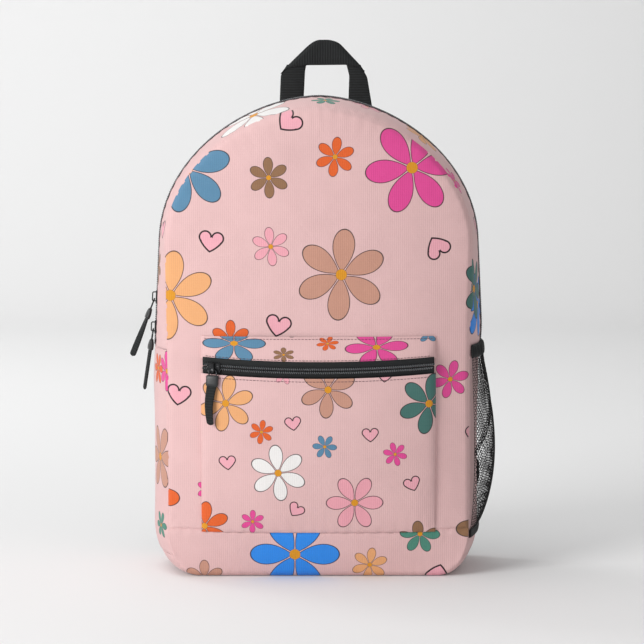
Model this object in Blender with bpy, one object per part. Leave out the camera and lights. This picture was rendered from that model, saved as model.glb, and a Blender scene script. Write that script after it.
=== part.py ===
"""School backpack, modelled in metres, +Z up, front towards -Y, with its base resting on z = 0.

The shell is a front panel and a padded back panel joined by a gusset. The gusset's upper half carries
the main zip. Every fabric part is a thin closed shell, and parts that meet keep a 0.3 mm gap.
"""

import math

import bmesh
import bpy
from mathutils import Matrix, Vector

# Shell: the gusset's outline is wider at mid depth than at the front and back seams.
FRONT_Y = -0.062
BACK_Y = 0.068
FRONT_HALF_WIDTH = 0.147
MIDDLE_HALF_WIDTH = 0.164
BACK_HALF_WIDTH = 0.154
FRONT_ARCH_HALF_WIDTH = 0.1495
MIDDLE_ARCH_HALF_WIDTH = 0.1575
BACK_ARCH_HALF_WIDTH = 0.150
FRONT_TOP = 0.460
MIDDLE_TOP = 0.466
BACK_TOP = 0.458
CORNER_WIDTH = 0.045
CORNER_HEIGHT = 0.058
CORNER_POWERS = (0.60, 1.0)
ARCH_POWER = 1.12
LEAN_Z = 0.190
ARCH_Z = 0.330
ARCH_CENTRE_Z = 0.3235
BASE_LIFT = 0.0012
FABRIC = 0.0022
GAP = 0.0003

# Crowns of the stuffed panels.
FRONT_CROWN = 0.022
BACK_CROWN = 0.005
CROWN_POWER = 2.4
CROWN_Z = 0.200

# Main zip: it runs from this height on each side, over the arch.
ZIP_END_Z = 0.222
FLAP_Z = 0.330
COIL_INNER = 0.0006
COIL_OUTER = 0.0033
TAPE_OUTER = 0.0069
BAND_EDGE = 0.0072

# Front pocket.
POCKET_HALF_WIDTH = 0.114
POCKET_BOTTOM = 0.045
POCKET_TOP = 0.237
POCKET_ZIP_Z = 0.2045
POCKET_ZIP_RISE = 0.004
POCKET_PROUD_CENTRE = 0.0125
POCKET_PROUD_END = 0.0090

# Mesh side pocket, on the wearer's left, which is +X.
MESH_BOTTOM = 0.045
MESH_TOP = 0.2145
MESH_BULGE = 0.016
MESH_TOP_STAND = 0.0045
ELASTIC_TOP = 0.2270
SQUEEZE_LOW = 0.200
SQUEEZE_HIGH = 0.250
SQUEEZE_SHARE = 0.40

# Shoulder straps, given for the +X strap.
PAD_WIDTH = 0.058
PAD_THICKNESS = 0.010
WEBBING = 0.0012
WEBBING_WIDTH = 0.0246
STRAP_HINGE = Vector((0.0, 0.0785, 0.4150))
PAD_END = Vector((0.100, 0.0930, 0.178))
ANCHOR = Vector((0.152, 0.0790, 0.090))

# Top handle.
HANDLE_THICKNESS = 0.0022
HANDLE_Y = 0.0740
HANDLE_HINGE_Z = 0.4620

# Zip sliders and pulls.
SLIDER_LENGTH = 0.0125
SLIDER_WIDTH = 0.0094
BAIL_LENGTH = 0.0100
BAIL_HEIGHT = 0.0040
BAIL_METAL = 0.0011
LINK_BAR_HEIGHT = 0.0016
SLOT_WIDTH = 0.0068
SLEEVE_WIDTH = 0.0122
SLEEVE_LENGTH = 0.0112
MAIN_SLOT = 0.0104
POCKET_SLOT = 0.0046
TAB_LENGTH = 0.0400
TAB_WIDTH_TOP = 0.0098
TAB_WIDTH_END = 0.0064
UPPER_SLIDER_Z = 0.2700
LOWER_SLIDER_Z = 0.2400
UPPER_PULL_ANGLE = math.radians(19.0)
LOWER_PULL_ANGLE = math.radians(6.0)
POCKET_PULL_ANGLE = math.radians(18.0)
POCKET_SLIDER_X = -0.1010

BLACK = (0.018, 0.021, 0.022)
PINK = (0.80, 0.55, 0.55)


def material(name, colour, roughness, metallic=0.0):
    """A Principled material, made once for each name."""
    made = bpy.data.materials.get(name)
    if made is None:
        made = bpy.data.materials.new(name)
        made.use_nodes = True
        shader = made.node_tree.nodes["Principled BSDF"]
        shader.inputs["Base Color"].default_value = (*colour, 1.0)
        shader.inputs["Roughness"].default_value = roughness
        shader.inputs["Metallic"].default_value = metallic
    return made


def printed_canvas():
    return material("printed_canvas", PINK, 0.80)


def lining_cloth():
    return material("lining_cloth", (0.03, 0.03, 0.032), 0.75)


def air_mesh():
    return material("air_mesh", (0.022, 0.024, 0.026), 0.85)


def black_webbing():
    return material("black_webbing", BLACK, 0.70)


def mesh_net():
    return material("mesh_net", (0.02, 0.02, 0.02), 0.80)


def foam():
    return material("foam", (0.55, 0.55, 0.53), 0.90)


def zip_coil():
    return material("zip_coil", (0.015, 0.016, 0.018), 0.40)


def zip_metal():
    return material("zip_metal", (0.03, 0.03, 0.033), 0.35, 0.8)


def moulded_plastic():
    return material("moulded_plastic", (0.02, 0.02, 0.02), 0.45)


def add_solid(name, points, faces, finish):
    """An object made from one closed mesh, with its faces turned outwards."""
    mesh = bpy.data.meshes.new(name)
    mesh.from_pydata([tuple(p) for p in points], [], faces)
    editable = bmesh.new()
    editable.from_mesh(mesh)
    bmesh.ops.remove_doubles(editable, verts=editable.verts, dist=1e-6)
    bmesh.ops.recalc_face_normals(editable, faces=editable.faces)
    editable.to_mesh(mesh)
    editable.free()
    mesh.materials.append(finish)
    solid = bpy.data.objects.new(name, mesh)
    bpy.context.scene.collection.objects.link(solid)
    return solid


def add_shell(name, outer, inner, finish):
    """A closed sheet between two grids of points that have the same rows and columns."""
    rows, columns = len(outer), len(outer[0])
    points = [p for grid in (outer, inner) for row in grid for p in row]
    below = rows * columns

    def at(row, column, side):
        return row * columns + column + side * below

    faces = []
    for side in (0, 1):
        for r in range(rows - 1):
            for c in range(columns - 1):
                quad = (at(r, c, side), at(r, c + 1, side), at(r + 1, c + 1, side), at(r + 1, c, side))
                faces.append(quad if side == 0 else quad[::-1])
    rim = [(r, 0) for r in range(rows)] + [(rows - 1, c) for c in range(1, columns)]
    rim += [(r, columns - 1) for r in range(rows - 2, -1, -1)] + [(0, c) for c in range(columns - 2, 0, -1)]
    for (r0, c0), (r1, c1) in zip(rim, rim[1:] + rim[:1]):
        faces.append((at(r0, c0, 0), at(r1, c1, 0), at(r1, c1, 1), at(r0, c0, 1)))
    return add_solid(name, points, faces, finish)


def add_prism(name, outline, direction, depth, finish):
    """A flat outline of 3-D points, carried along a direction."""
    count = len(outline)
    points = list(outline) + [p + direction * depth for p in outline]
    faces = [tuple(range(count)), tuple(range(2 * count - 1, count - 1, -1))]
    faces += [(i, (i + 1) % count, (i + 1) % count + count, i + count) for i in range(count)]
    return add_solid(name, points, faces, finish)


def add_frame_plate(name, frame, across, along, windows, low, high, finish):
    """A plate cut into cells at the given breaks, without the cells named as windows."""
    solid_cells = {(i, j) for i in range(len(across) - 1) for j in range(len(along) - 1)} - set(windows)
    points, faces = [], []

    def corner(i, j, height):
        points.append(frame @ Vector((across[i], along[j], height)))
        return len(points) - 1

    for i, j in sorted(solid_cells):
        ring = ((i, j), (i + 1, j), (i + 1, j + 1), (i, j + 1))
        faces.append([corner(*c, high) for c in ring])
        faces.append([corner(*c, low) for c in reversed(ring)])
        steps = ((0, -1), (1, 0), (0, 1), (-1, 0))
        for (a, b), (di, dj) in zip(zip(ring, ring[1:] + ring[:1]), steps):
            if (i + di, j + dj) not in solid_cells:
                faces.append([corner(*a, low), corner(*b, low), corner(*b, high), corner(*a, high)])
    return add_solid(name, points, faces, finish)


def add_ribbon(name, centre, width_direction, width, thickness, finish):
    """A flat strip whose middle follows the points, with its width along one direction."""
    outer, inner = [], []
    last = len(centre) - 1
    for i, point in enumerate(centre):
        run = centre[min(i + 1, last)] - centre[max(i - 1, 0)]
        normal = run.cross(width_direction).normalized()
        edges = [point - width_direction * width / 2, point + width_direction * width / 2]
        outer.append([e + normal * thickness / 2 for e in edges])
        inner.append([e - normal * thickness / 2 for e in edges])
    return add_shell(name, outer, inner, finish)


def join_solids(body, *others):
    """One solid from several that cross each other."""
    for other in others:
        union = body.modifiers.new("join_" + other.name, "BOOLEAN")
        union.operation = "UNION"
        union.solver = "EXACT"
        union.object = other
        other.hide_render = True
        other.display_type = "WIRE"
    return body


def mix(a, b, share):
    return a + (b - a) * share


def steps(low, high, count):
    """Evenly spaced values, both ends included."""
    return [mix(low, high, i / (count - 1)) for i in range(count)]


def smooth(share):
    share = min(1.0, max(0.0, share))
    return share * share * (3 - 2 * share)


# The gusset's surface. station runs 0 to 5 up one side: floor, corner, side, lean and arch, 1 each.


def depth_share(y):
    return (y - FRONT_Y) / (BACK_Y - FRONT_Y)


def across_depth(front, middle, back, v):
    return mix(front, back, v) + (middle - (front + back) / 2) * 4 * v * (1 - v)


def outline_sizes(v):
    """Half width below, half width at the arch, top and bottom of the outline at one depth."""
    low = across_depth(FRONT_HALF_WIDTH, MIDDLE_HALF_WIDTH, BACK_HALF_WIDTH, v)
    arch = across_depth(FRONT_ARCH_HALF_WIDTH, MIDDLE_ARCH_HALF_WIDTH, BACK_ARCH_HALF_WIDTH, v)
    top = across_depth(FRONT_TOP, MIDDLE_TOP, BACK_TOP, v)
    bottom = BASE_LIFT * max(0.0, (abs(2 * v - 1) - 0.6) / 0.4) ** 2
    return low, arch, top, bottom


def squeeze(z):
    """How far the mesh pocket's elastic presses the +X gusset flat at a height."""
    return SQUEEZE_SHARE * (1 - smooth((z - SQUEEZE_LOW) / (SQUEEZE_HIGH - SQUEEZE_LOW)))


def outline_xz(station, v, squeezed):
    low, arch, top, bottom = outline_sizes(v)
    if squeezed:
        flat = mix(FRONT_HALF_WIDTH, BACK_HALF_WIDTH, v)
        bulged, height = low, outline_height(station, v)
        low = mix(bulged, flat, squeeze(height))
    share = station - math.floor(station)
    if station < 1:
        return share * (low - CORNER_WIDTH), bottom
    if station < 2:
        angle = share * math.pi / 2
        x = low - CORNER_WIDTH * (1 - math.sin(angle) ** mix(*CORNER_POWERS, v))
        return x, bottom + (CORNER_HEIGHT - bottom) * (1 - math.cos(angle))
    if station < 3:
        return low, mix(CORNER_HEIGHT, LEAN_Z, share)
    if station < 4:
        return mix(low, arch, share), mix(LEAN_Z, ARCH_Z, share)
    start = math.asin((ARCH_Z - ARCH_CENTRE_Z) / (top - ARCH_CENTRE_Z))
    angle = mix(start, math.pi / 2, min(1.0, station - 4))
    x = arch * max(0.0, math.cos(angle) / math.cos(start)) ** ARCH_POWER
    return x, ARCH_CENTRE_Z + (top - ARCH_CENTRE_Z) * math.sin(angle)


def outline_height(station, v):
    return outline_xz(station, v, False)[1]


def station_at(z):
    """The station of a height on the straight stretches above the corner."""
    if z < LEAN_Z:
        return 2 + (z - CORNER_HEIGHT) / (LEAN_Z - CORNER_HEIGHT)
    return 3 + (z - LEAN_Z) / (ARCH_Z - LEAN_Z)


def corner_station(z):
    """The station of a height on the bottom corner at mid depth."""
    return 1 + math.acos(1 - z / CORNER_HEIGHT) / (math.pi / 2)


def gusset_point(station, side, v, offset=0.0):
    """A point on the gusset, moved outwards by offset in the plane of its outline."""
    step = 0.01
    squeezed = side > 0
    x, z = outline_xz(station, v, squeezed)
    below = outline_xz(max(0.0, station - step), v, squeezed)
    above = outline_xz(min(5.0, station + step), v, squeezed)
    run = Vector((above[0] - below[0], above[1] - below[1])).normalized()
    if station >= 5.0:
        run = Vector((-1.0, 0.0))
    return Vector((side * (x + run.y * offset), mix(FRONT_Y, BACK_Y, v), z - run.x * offset))


def add_gusset_part(name, places, columns, finish):
    """A strip of gusset. places are (station, side); columns are (depth share, outer, inner offset)."""
    outer = [[gusset_point(s, side, v, out) for v, out, _ in columns] for s, side in places]
    inner = [[gusset_point(s, side, v, into) for v, _, into in columns] for s, side in places]
    return add_shell(name, outer, inner, finish)


def fabric_columns(y_low, y_high, count=4):
    return [(depth_share(y), 0.0, -FABRIC) for y in steps(y_low, y_high, count)]


def stringer_columns(sign):
    """One half of a zip: thin tape with the thicker coil along its inner edge."""
    tape, coil = (-0.0010, -0.0020), (-0.0002, -0.0024)
    section = ((TAPE_OUTER, tape), (COIL_OUTER + 0.0002, tape), (COIL_OUTER, coil), (COIL_INNER, coil))
    return [(depth_share(sign * y), *offsets) for y, offsets in section]


def over_the_top(low_station, per_side):
    """Places from the +X side over the arch and down the -X side, closer where it curves."""
    up = []
    if low_station < 4:
        up = steps(low_station, 4, 4)[:-1]
    arch = steps(max(4.0, low_station), 5.0, per_side)
    right = [(s, 1) for s in up + arch]
    left = [(s, -1) for s in reversed((up + arch)[:-1])]
    return right + left


# Panels.


def front_height_share(z):
    """How much of the front's crown is left at a height."""
    if z < CROWN_Z:
        return 1 - min(1.0, (CROWN_Z - z) / (CROWN_Z - BASE_LIFT)) ** 4
    return math.sqrt(max(0.0, 1 - ((z - CROWN_Z) / (FRONT_TOP - CROWN_Z)) ** 2))


def front_station(z):
    """The station of a height on the front seam."""
    low, high = 1.0, 4.999
    for _ in range(30):
        middle = (low + high) / 2
        if outline_height(middle, 0.0) < z:
            low = middle
        else:
            high = middle
    return low


def front_half_width(z):
    return outline_xz(front_station(z), 0.0, False)[0]


def front_y(x, z):
    """The front panel's inner face."""
    share = min(1.0, abs(x) / front_half_width(z))
    return FRONT_Y - FRONT_CROWN * (1 - share**CROWN_POWER) * front_height_share(z)


def front_outer_y(x, z):
    return front_y(x, z) - FABRIC


def back_outer_y(x, z):
    """The back panel's outer face."""
    share = min(1.0, abs(x) / BACK_HALF_WIDTH)
    bulge = BACK_CROWN * (1 - share**2) * math.sin(math.pi * min(1.0, max(0.0, z / BACK_TOP)))
    return BACK_Y + GAP + FABRIC + bulge


def add_front_part(name, stations):
    shares = steps(-1, 1, 15)
    outer, inner = [], []
    for station in stations:
        half, z = outline_xz(station, 0.0, False)
        outer.append([Vector((half * c, front_outer_y(half * c, z), z)) for c in shares])
        inner.append([Vector((half * c, front_y(half * c, z), z)) for c in shares])
    return add_shell(name, outer, inner, printed_canvas())


def add_front_panels():
    below, above = front_station(POCKET_BOTTOM - GAP), front_station(POCKET_BOTTOM)
    add_front_part("front_base_strip", [1.0, 1.2, 1.4, below])
    split = station_at(FLAP_Z - GAP)
    add_front_part("front_panel", [above, 1.88, 2.0, 2.3, 2.6, 3.0, 3.35, 3.7, split])
    add_front_part("flap_panel", [4 + s for s in (0.002, 0.15, 0.3, 0.45, 0.6, 0.72, 0.83, 0.92, 0.98)])


def add_back_layer(name, inset, y_near, y_far, bulge, finish):
    """One layer of the padded back; near and far are its faces at the rim, from inside to outside."""
    shares = steps(-1, 1, 9)
    outer, inner = [], []
    for station in (1.0, 1.25, 1.5, 1.75, 2.0, 2.5, 3.0, 3.5, 4.0, 4.2, 4.4, 4.6, 4.8, 4.93):
        half, z = outline_xz(station, 1.0, False)
        middle = BACK_TOP / 2
        half, z = half - inset, middle + (z - middle) * (1 - inset / middle)
        rise = [bulge * (back_outer_y(half * c, z) - BACK_Y - GAP - FABRIC) for c in shares]
        outer.append([Vector((half * c, y_far + r, z)) for c, r in zip(shares, rise)])
        inner.append([Vector((half * c, y_near + r, z)) for c, r in zip(shares, rise)])
    return add_shell(name, outer, inner, finish)


def add_back():
    add_back_layer("back_panel", 0.0, BACK_Y + GAP, BACK_Y + GAP + FABRIC, 1.0, air_mesh())
    add_back_layer("back_foam", 0.004, BACK_Y - 0.0075, BACK_Y - 0.0006, 1.0, foam())
    add_back_layer("back_lining", 0.004, BACK_Y - 0.0091, BACK_Y - 0.0081, 1.0, lining_cloth())


def add_gussets():
    front_edge, back_edge = FRONT_Y + GAP, BACK_Y
    zip_start = station_at(ZIP_END_Z)
    seam = corner_station(0.020)
    base = [(s, 1) for s in (seam, 1.35, 1.15, 1.0, 0.5)] + [(0.0, 1)]
    base += [(s, -1) for s in (0.5, 1.0, 1.15, 1.35, seam)]
    add_gusset_part("base_panel", base, fabric_columns(front_edge, back_edge, 7), printed_canvas())
    low_seam = seam + 0.006
    for side, word in ((1, "right"), (-1, "left")):
        lower = [low_seam, 1.68, 1.84, 2.0, 2.5, 3.0, 3.12, zip_start - 0.003]
        places = [(s, side) for s in lower]
        add_gusset_part(f"gusset_lower_{word}", places, fabric_columns(front_edge, back_edge, 8), printed_canvas())
        top = station_at(FLAP_Z - GAP)
        places = [(s, side) for s in steps(zip_start, top, 5)]
        columns = fabric_columns(front_edge, -BAND_EDGE)
        add_gusset_part(f"gusset_front_{word}", places, columns, printed_canvas())
        add_gusset_part(f"zip_stringer_front_{word}", places, stringer_columns(-1), zip_coil())
    rear = over_the_top(zip_start, 13)
    add_gusset_part("gusset_rear", rear, fabric_columns(BAND_EDGE, back_edge), printed_canvas())
    add_gusset_part("zip_stringer_rear", rear, stringer_columns(1), zip_coil())
    flap = over_the_top(4.002, 13)
    add_gusset_part("flap_gusset", flap, fabric_columns(front_edge, -BAND_EDGE), printed_canvas())
    add_gusset_part("zip_stringer_flap", flap, stringer_columns(-1), zip_coil())


# Front pocket. Its zip follows a circular arc, so that the slider turns about the arc's centre.


def pocket_arc():
    """Centre, the vector from it to the arc's middle, and the axis, with +X first on the turn."""
    end_z = POCKET_ZIP_Z + POCKET_ZIP_RISE
    middle = Vector((0.0, front_outer_y(0.0, POCKET_ZIP_Z) - POCKET_PROUD_CENTRE, POCKET_ZIP_Z))
    chord_middle = Vector((0.0, front_outer_y(POCKET_HALF_WIDTH, end_z) - POCKET_PROUD_END, end_z))
    rise = middle - chord_middle
    radius = POCKET_HALF_WIDTH**2 / (2 * rise.length) + rise.length / 2
    reach = rise.normalized() * radius
    axis = reach.normalized().cross(Vector((1.0, 0.0, 0.0)))
    return middle - reach, reach, axis


def on_pocket_arc(x, up=0.0, out=0.0):
    """A point on the pocket zip: up is across the zip, out is away from the bag."""
    centre, reach, axis = pocket_arc()
    angle = math.asin(x / reach.length)
    section = reach + reach.normalized() * out + axis * up
    return centre + Matrix.Rotation(angle, 3, axis) @ section


def pocket_columns():
    """(x, share of the pocket's depth, how far the inner face moves in x)."""
    edge = POCKET_HALF_WIDTH
    right = [(edge * c, 1.0, 0.0) for c in (0.2, 0.4, 0.6, 0.78, 0.92)]
    right += [(edge - 0.0030, 0.96, -FABRIC * 0.6), (edge - 0.0004, 0.70, -FABRIC), (edge, 0.0, -FABRIC)]
    left = [(-x, share, -inset) for x, share, inset in reversed(right)]
    return left + [(0.0, 1.0, 0.0)] + right


def zip_depth(x):
    """How far the pocket zip stands off the front panel."""
    point = on_pocket_arc(x)
    return front_outer_y(x, point.z) - point.y


def add_pocket_part(name, height_of_row, depth_of_row, rows):
    foot = 0.0005
    outer, inner = [], []
    for r in rows:
        outer_row, inner_row = [], []
        for x, share, inset in pocket_columns():
            z, depth = height_of_row(x, r), depth_of_row(x, r) * share
            out = max(foot + (FABRIC if share else 0.0), depth)
            into = max(foot, depth - FABRIC) if share else foot
            if not share:
                out = foot
            outer_row.append(Vector((x, front_outer_y(x, z) - out - (FABRIC if not share else 0.0), z)))
            inner_row.append(Vector((x + inset, front_outer_y(x + inset, z) - into, z)))
        outer.append(outer_row)
        inner.append(inner_row)
    return add_shell(name, outer, inner, printed_canvas())


def add_pocket():
    def face_height(x, r):
        return mix(POCKET_BOTTOM, on_pocket_arc(x, -BAND_EDGE).z, r)

    def face_depth(x, r):
        return mix(0.0035, zip_depth(x), math.sin(math.pi / 2 * r**0.7))

    def strip_height(x, r):
        return mix(on_pocket_arc(x, BAND_EDGE + 0.0007).z, POCKET_TOP, r)

    def strip_depth(x, r):
        return mix(zip_depth(x), 0.0032, r**1.4)

    add_pocket_part("pocket_face", face_height, face_depth, [0, 0.08, 0.2, 0.35, 0.55, 0.78, 1.0])
    add_pocket_part("pocket_top_strip", strip_height, strip_depth, [0.0, 0.35, 0.7, 1.0])
    xs = steps(-POCKET_HALF_WIDTH + 0.0035, POCKET_HALF_WIDTH - 0.0035, 17)
    for sign, word in ((1, "upper"), (-1, "lower")):
        tape, coil = (-0.0010, -0.0020), (-0.0002, -0.0024)
        section = ((TAPE_OUTER, tape), (COIL_OUTER + 0.0002, tape), (COIL_OUTER, coil), (COIL_INNER, coil))
        outer = [[on_pocket_arc(x, sign * up, o[0]) for up, o in section] for x in xs]
        inner = [[on_pocket_arc(x, sign * up, o[1]) for up, o in section] for x in xs]
        add_shell(f"pocket_stringer_{word}", outer, inner, zip_coil())


# Zip hardware.


def frame_of(origin, x_axis, y_axis, z_axis):
    """A matrix from three unit axes."""
    made = Matrix((x_axis, y_axis, z_axis)).transposed().to_4x4()
    made.translation = origin
    return made


def add_slider(name, frame, bail_along):
    """A slider in a frame of travel, width and outward axes, with the coil's face at height 0."""
    half, plate, web = SLIDER_WIDTH / 2, 0.0013, 0.00028
    low, inner_half = -0.0027, 0.0036
    section = [(half, GAP), (half, GAP + plate), (-half, GAP + plate), (-half, GAP), (-web, GAP)]
    section += [(-web, low), (-inner_half, low), (-inner_half, low - plate), (inner_half, low - plate)]
    section += [(inner_half, low), (web, low), (web, GAP)]
    end = -SLIDER_LENGTH / 2
    ring = [frame @ Vector((end, w, h)) for w, h in section]
    travel = frame.to_3x3() @ Vector((1.0, 0.0, 0.0))
    body = add_prism(name, ring, travel, SLIDER_LENGTH, zip_metal())
    base, top = GAP + plate - 0.0004, GAP + plate + BAIL_HEIGHT
    reach, slope = BAIL_LENGTH / 2, 0.0012
    arch = [(-reach, base), (-reach, top - slope), (-reach + slope, top), (reach - slope, top)]
    arch += [(reach, top - slope), (reach, base), (reach - BAIL_METAL, base)]
    arch += [(reach - BAIL_METAL, top - BAIL_METAL - 0.0005), (reach - slope - 0.0004, top - BAIL_METAL)]
    arch += [(-reach + slope + 0.0004, top - BAIL_METAL), (-reach + BAIL_METAL, top - BAIL_METAL - 0.0005)]
    arch += [(-reach + BAIL_METAL, base)]
    across = Vector((0.0, 1.0, 0.0)) if bail_along else Vector((1.0, 0.0, 0.0))
    along = Vector((1.0, 0.0, 0.0)) if bail_along else Vector((0.0, 1.0, 0.0))
    width = 0.0022
    up = Vector((0.0, 0.0, 1.0))
    outline = [frame @ (along * a + up * h - across * width / 2) for a, h in arch]
    bail = add_prism(name + "_bail", outline, frame.to_3x3() @ across, width, zip_metal())
    return join_solids(body, bail)


def add_pull(word, hinge, angle, slot_length):
    """A pull in a frame of bar, hanging and outward axes, swung outwards by angle about its bar."""
    frame = hinge @ Matrix.Rotation(angle, 4, "X")
    thick = 0.0007
    end = slot_length + SLEEVE_LENGTH
    across = [-SLEEVE_WIDTH / 2, -SLOT_WIDTH / 2, SLOT_WIDTH / 2, SLEEVE_WIDTH / 2]
    along = [-thick, thick, slot_length, end]
    add_frame_plate(f"pull_link_{word}", frame, across, along, {(1, 1)}, -thick, thick, zip_metal())
    rows = [(mix(end + 0.0004, end + TAB_LENGTH, r), mix(TAB_WIDTH_TOP, TAB_WIDTH_END, r) / 2) for r in steps(0, 1, 5)]
    outer = [[frame @ Vector((x, y, thick)) for x in steps(-w, w, 3)] for y, w in rows]
    inner = [[frame @ Vector((x, y, -thick)) for x in steps(-w, w, 3)] for y, w in rows]
    add_shell(f"pull_tab_{word}", outer, inner, moulded_plastic())


def bar_frame(frame, bail_along):
    """The pull's frame on a slider: x along its bar, y the way it hangs, z outwards."""
    height = GAP + 0.0013 + LINK_BAR_HEIGHT - 0.0002
    travel, width, out = (frame.to_3x3() @ Vector(a) for a in ((1, 0, 0), (0, 1, 0), (0, 0, 1)))
    hang, bar = (-travel, width) if bail_along else (-width, -travel)
    origin = frame @ Vector((0.0, 0.0, height)) + hang * 0.0022
    return frame_of(origin, bar, hang, out)


def main_zip_frame(z):
    """Travel runs up the -X side, width points to the back and the third axis away from the bag."""
    place = station_at(z)
    v = depth_share(0.0)
    origin = gusset_point(place, -1, v)
    travel = (gusset_point(4.0, -1, v) - gusset_point(3.0, -1, v)).normalized()
    width = Vector((0.0, 1.0, 0.0))
    return frame_of(origin, travel, width, travel.cross(width))


def pocket_zip_frame():
    """Travel runs towards +X and width upwards."""
    centre, reach, axis = pocket_arc()
    turn = Matrix.Rotation(math.asin(POCKET_SLIDER_X / reach.length), 3, axis)
    travel = turn @ Vector((1.0, 0.0, 0.0))
    return frame_of(on_pocket_arc(POCKET_SLIDER_X), travel, axis, travel.cross(axis))


def add_zip_hardware():
    for word, z, angle in (("upper", UPPER_SLIDER_Z, UPPER_PULL_ANGLE), ("lower", LOWER_SLIDER_Z, LOWER_PULL_ANGLE)):
        frame = main_zip_frame(z)
        add_slider(f"zip_slider_{word}", frame, True)
        add_pull(word, bar_frame(frame, True), angle, MAIN_SLOT)
    frame = pocket_zip_frame()
    add_slider("zip_slider_pocket", frame, False)
    add_pull("pocket", bar_frame(frame, False), POCKET_PULL_ANGLE, POCKET_SLOT)
    for side, word in ((1, "right"), (-1, "left")):
        columns = [(depth_share(y), 0.0014, GAP) for y in (-0.0040, 0.0040)]
        start = station_at(ZIP_END_Z + 0.001)
        places = [(start, side), (start + 0.03, side)]
        add_gusset_part(f"zip_stop_{word}", places, columns, zip_metal())


# Mesh side pocket.


def mesh_bulge(v, z):
    """How far the mesh stands off the gusset."""
    share = min(1.0, max(0.0, (z - MESH_BOTTOM) / (ELASTIC_TOP - MESH_BOTTOM)))
    height = MESH_BULGE * math.sin(math.pi * share**0.85) + MESH_TOP_STAND * smooth(share * 1.2)
    return (0.0008 + height * (4 * v * (1 - v)) ** 0.6) if 0 < v < 1 else 0.0004


def add_mesh_band(name, heights, thickness, finish):
    places, columns = [station_at(z) if z > CORNER_HEIGHT else corner_station(z) for z in heights], []
    shares = [0.012, 0.05, 0.13, 0.26, 0.38, 0.5, 0.62, 0.74, 0.87, 0.95, 0.988]
    outer, inner = [], []
    for station, z in zip(places, heights):
        reach = [mesh_bulge(v, z) if 0.02 < v < 0.98 else 0.0004 for v in shares]
        outer.append([gusset_point(station, 1, v, d + thickness) for v, d in zip(shares, reach)])
        inner.append([gusset_point(station, 1, v, d) for v, d in zip(shares, reach)])
    return add_shell(name, outer, inner, finish)


def add_mesh_pocket():
    add_mesh_band("mesh_hem", [MESH_BOTTOM - 0.008, MESH_BOTTOM - GAP], 0.0020, black_webbing())
    add_mesh_band("mesh_net", [MESH_BOTTOM, 0.058, 0.075, 0.1, 0.13, 0.16, 0.19, MESH_TOP - GAP], 0.0012, mesh_net())
    add_mesh_band("mesh_elastic", [MESH_TOP, ELASTIC_TOP], 0.0018, black_webbing())


# Inside, back, handle and straps.


def add_inner_pocket():
    """A slip pocket on the inside of the back, open at the top."""
    half, bottom, top, lining = 0.110, 0.030, 0.290, BACK_Y - 0.0095
    outer, inner = [], []
    for z in steps(bottom, top, 6):
        stand = 0.0075 * smooth((z - bottom) / 0.03) + 0.0014
        row_out, row_in = [], []
        for x, share in [(-half, 0), (-half + 0.0015, 1), (-half / 2, 1), (0, 1), (half / 2, 1), (half - 0.0015, 1), (half, 0)]:
            face = lining + back_outer_y(x, z) - BACK_Y - GAP - FABRIC - 0.0003
            near = stand if share else 0.0012
            inset = 0.0 if abs(x) < half - 0.01 else math.copysign(0.0012, -x)
            row_out.append(Vector((x, face - near, z)))
            row_in.append(Vector((x + inset, face - (near - 0.0012 if share else 0.0), z)))
        outer.append(row_out)
        inner.append(row_in)
    return add_shell("inner_pocket", outer, inner, lining_cloth())


def add_back_patch(name, rows, thickness, finish):
    """A flat patch on the outside of the back panel. Each row is its x values and its height."""
    gap = 0.0006
    outer = [[Vector((x, back_outer_y(x, z) + gap + thickness, z)) for x in xs] for xs, z in rows]
    inner = [[Vector((x, back_outer_y(x, z) + gap, z)) for x in xs] for xs, z in rows]
    return add_shell(name, outer, inner, finish)


def add_handle():
    """A webbing loop, folded at 45 degrees at both upper corners, above its two sewn ends."""
    outline = [(-0.0373, HANDLE_HINGE_Z), (-0.0373, 0.4870), (-0.0350, 0.4960), (-0.0276, 0.5030)]
    outline += [(-0.0065, 0.5230), (-0.0005, 0.5262), (0.0105, 0.5264), (0.0218, 0.5228), (0.0306, 0.5140)]
    outline += [(0.0427, 0.4992), (0.0470, 0.4900), (0.0500, 0.4760), (0.0519, HANDLE_HINGE_Z)]
    outline += [(0.0286, HANDLE_HINGE_Z), (0.0296, 0.4885), (0.0272, 0.5015), (-0.0116, 0.5022)]
    outline += [(-0.0131, 0.4920), (-0.0145, HANDLE_HINGE_Z)]
    ring = [Vector((x, HANDLE_Y - HANDLE_THICKNESS / 2, z)) for x, z in outline]
    add_prism("top_handle", ring, Vector((0.0, 1.0, 0.0)), HANDLE_THICKNESS, black_webbing())
    for word, x_low, x_high in (("left", -0.0373, -0.0145), ("right", 0.0286, 0.0519)):
        rows = [([x_low, x_high], z) for z in (0.4440, 0.4602)]
        add_back_patch(f"handle_end_{word}", rows, HANDLE_THICKNESS, black_webbing())


def curve_points(controls, count):
    """Points along a smooth curve through the controls (Catmull-Rom)."""
    ends = [controls[0] * 2 - controls[1], *controls, controls[-1] * 2 - controls[-2]]
    made = []
    for t in steps(0, len(controls) - 1, count):
        i = min(int(t), len(controls) - 2)
        u = t - i
        a, b, c, d = ends[i : i + 4]
        made.append((b * 2 + (c - a) * u + (a * 2 - b * 5 + c * 4 - d) * u**2 + (b * 3 - a - c * 3 + d) * u**3) / 2)
    return made


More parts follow.
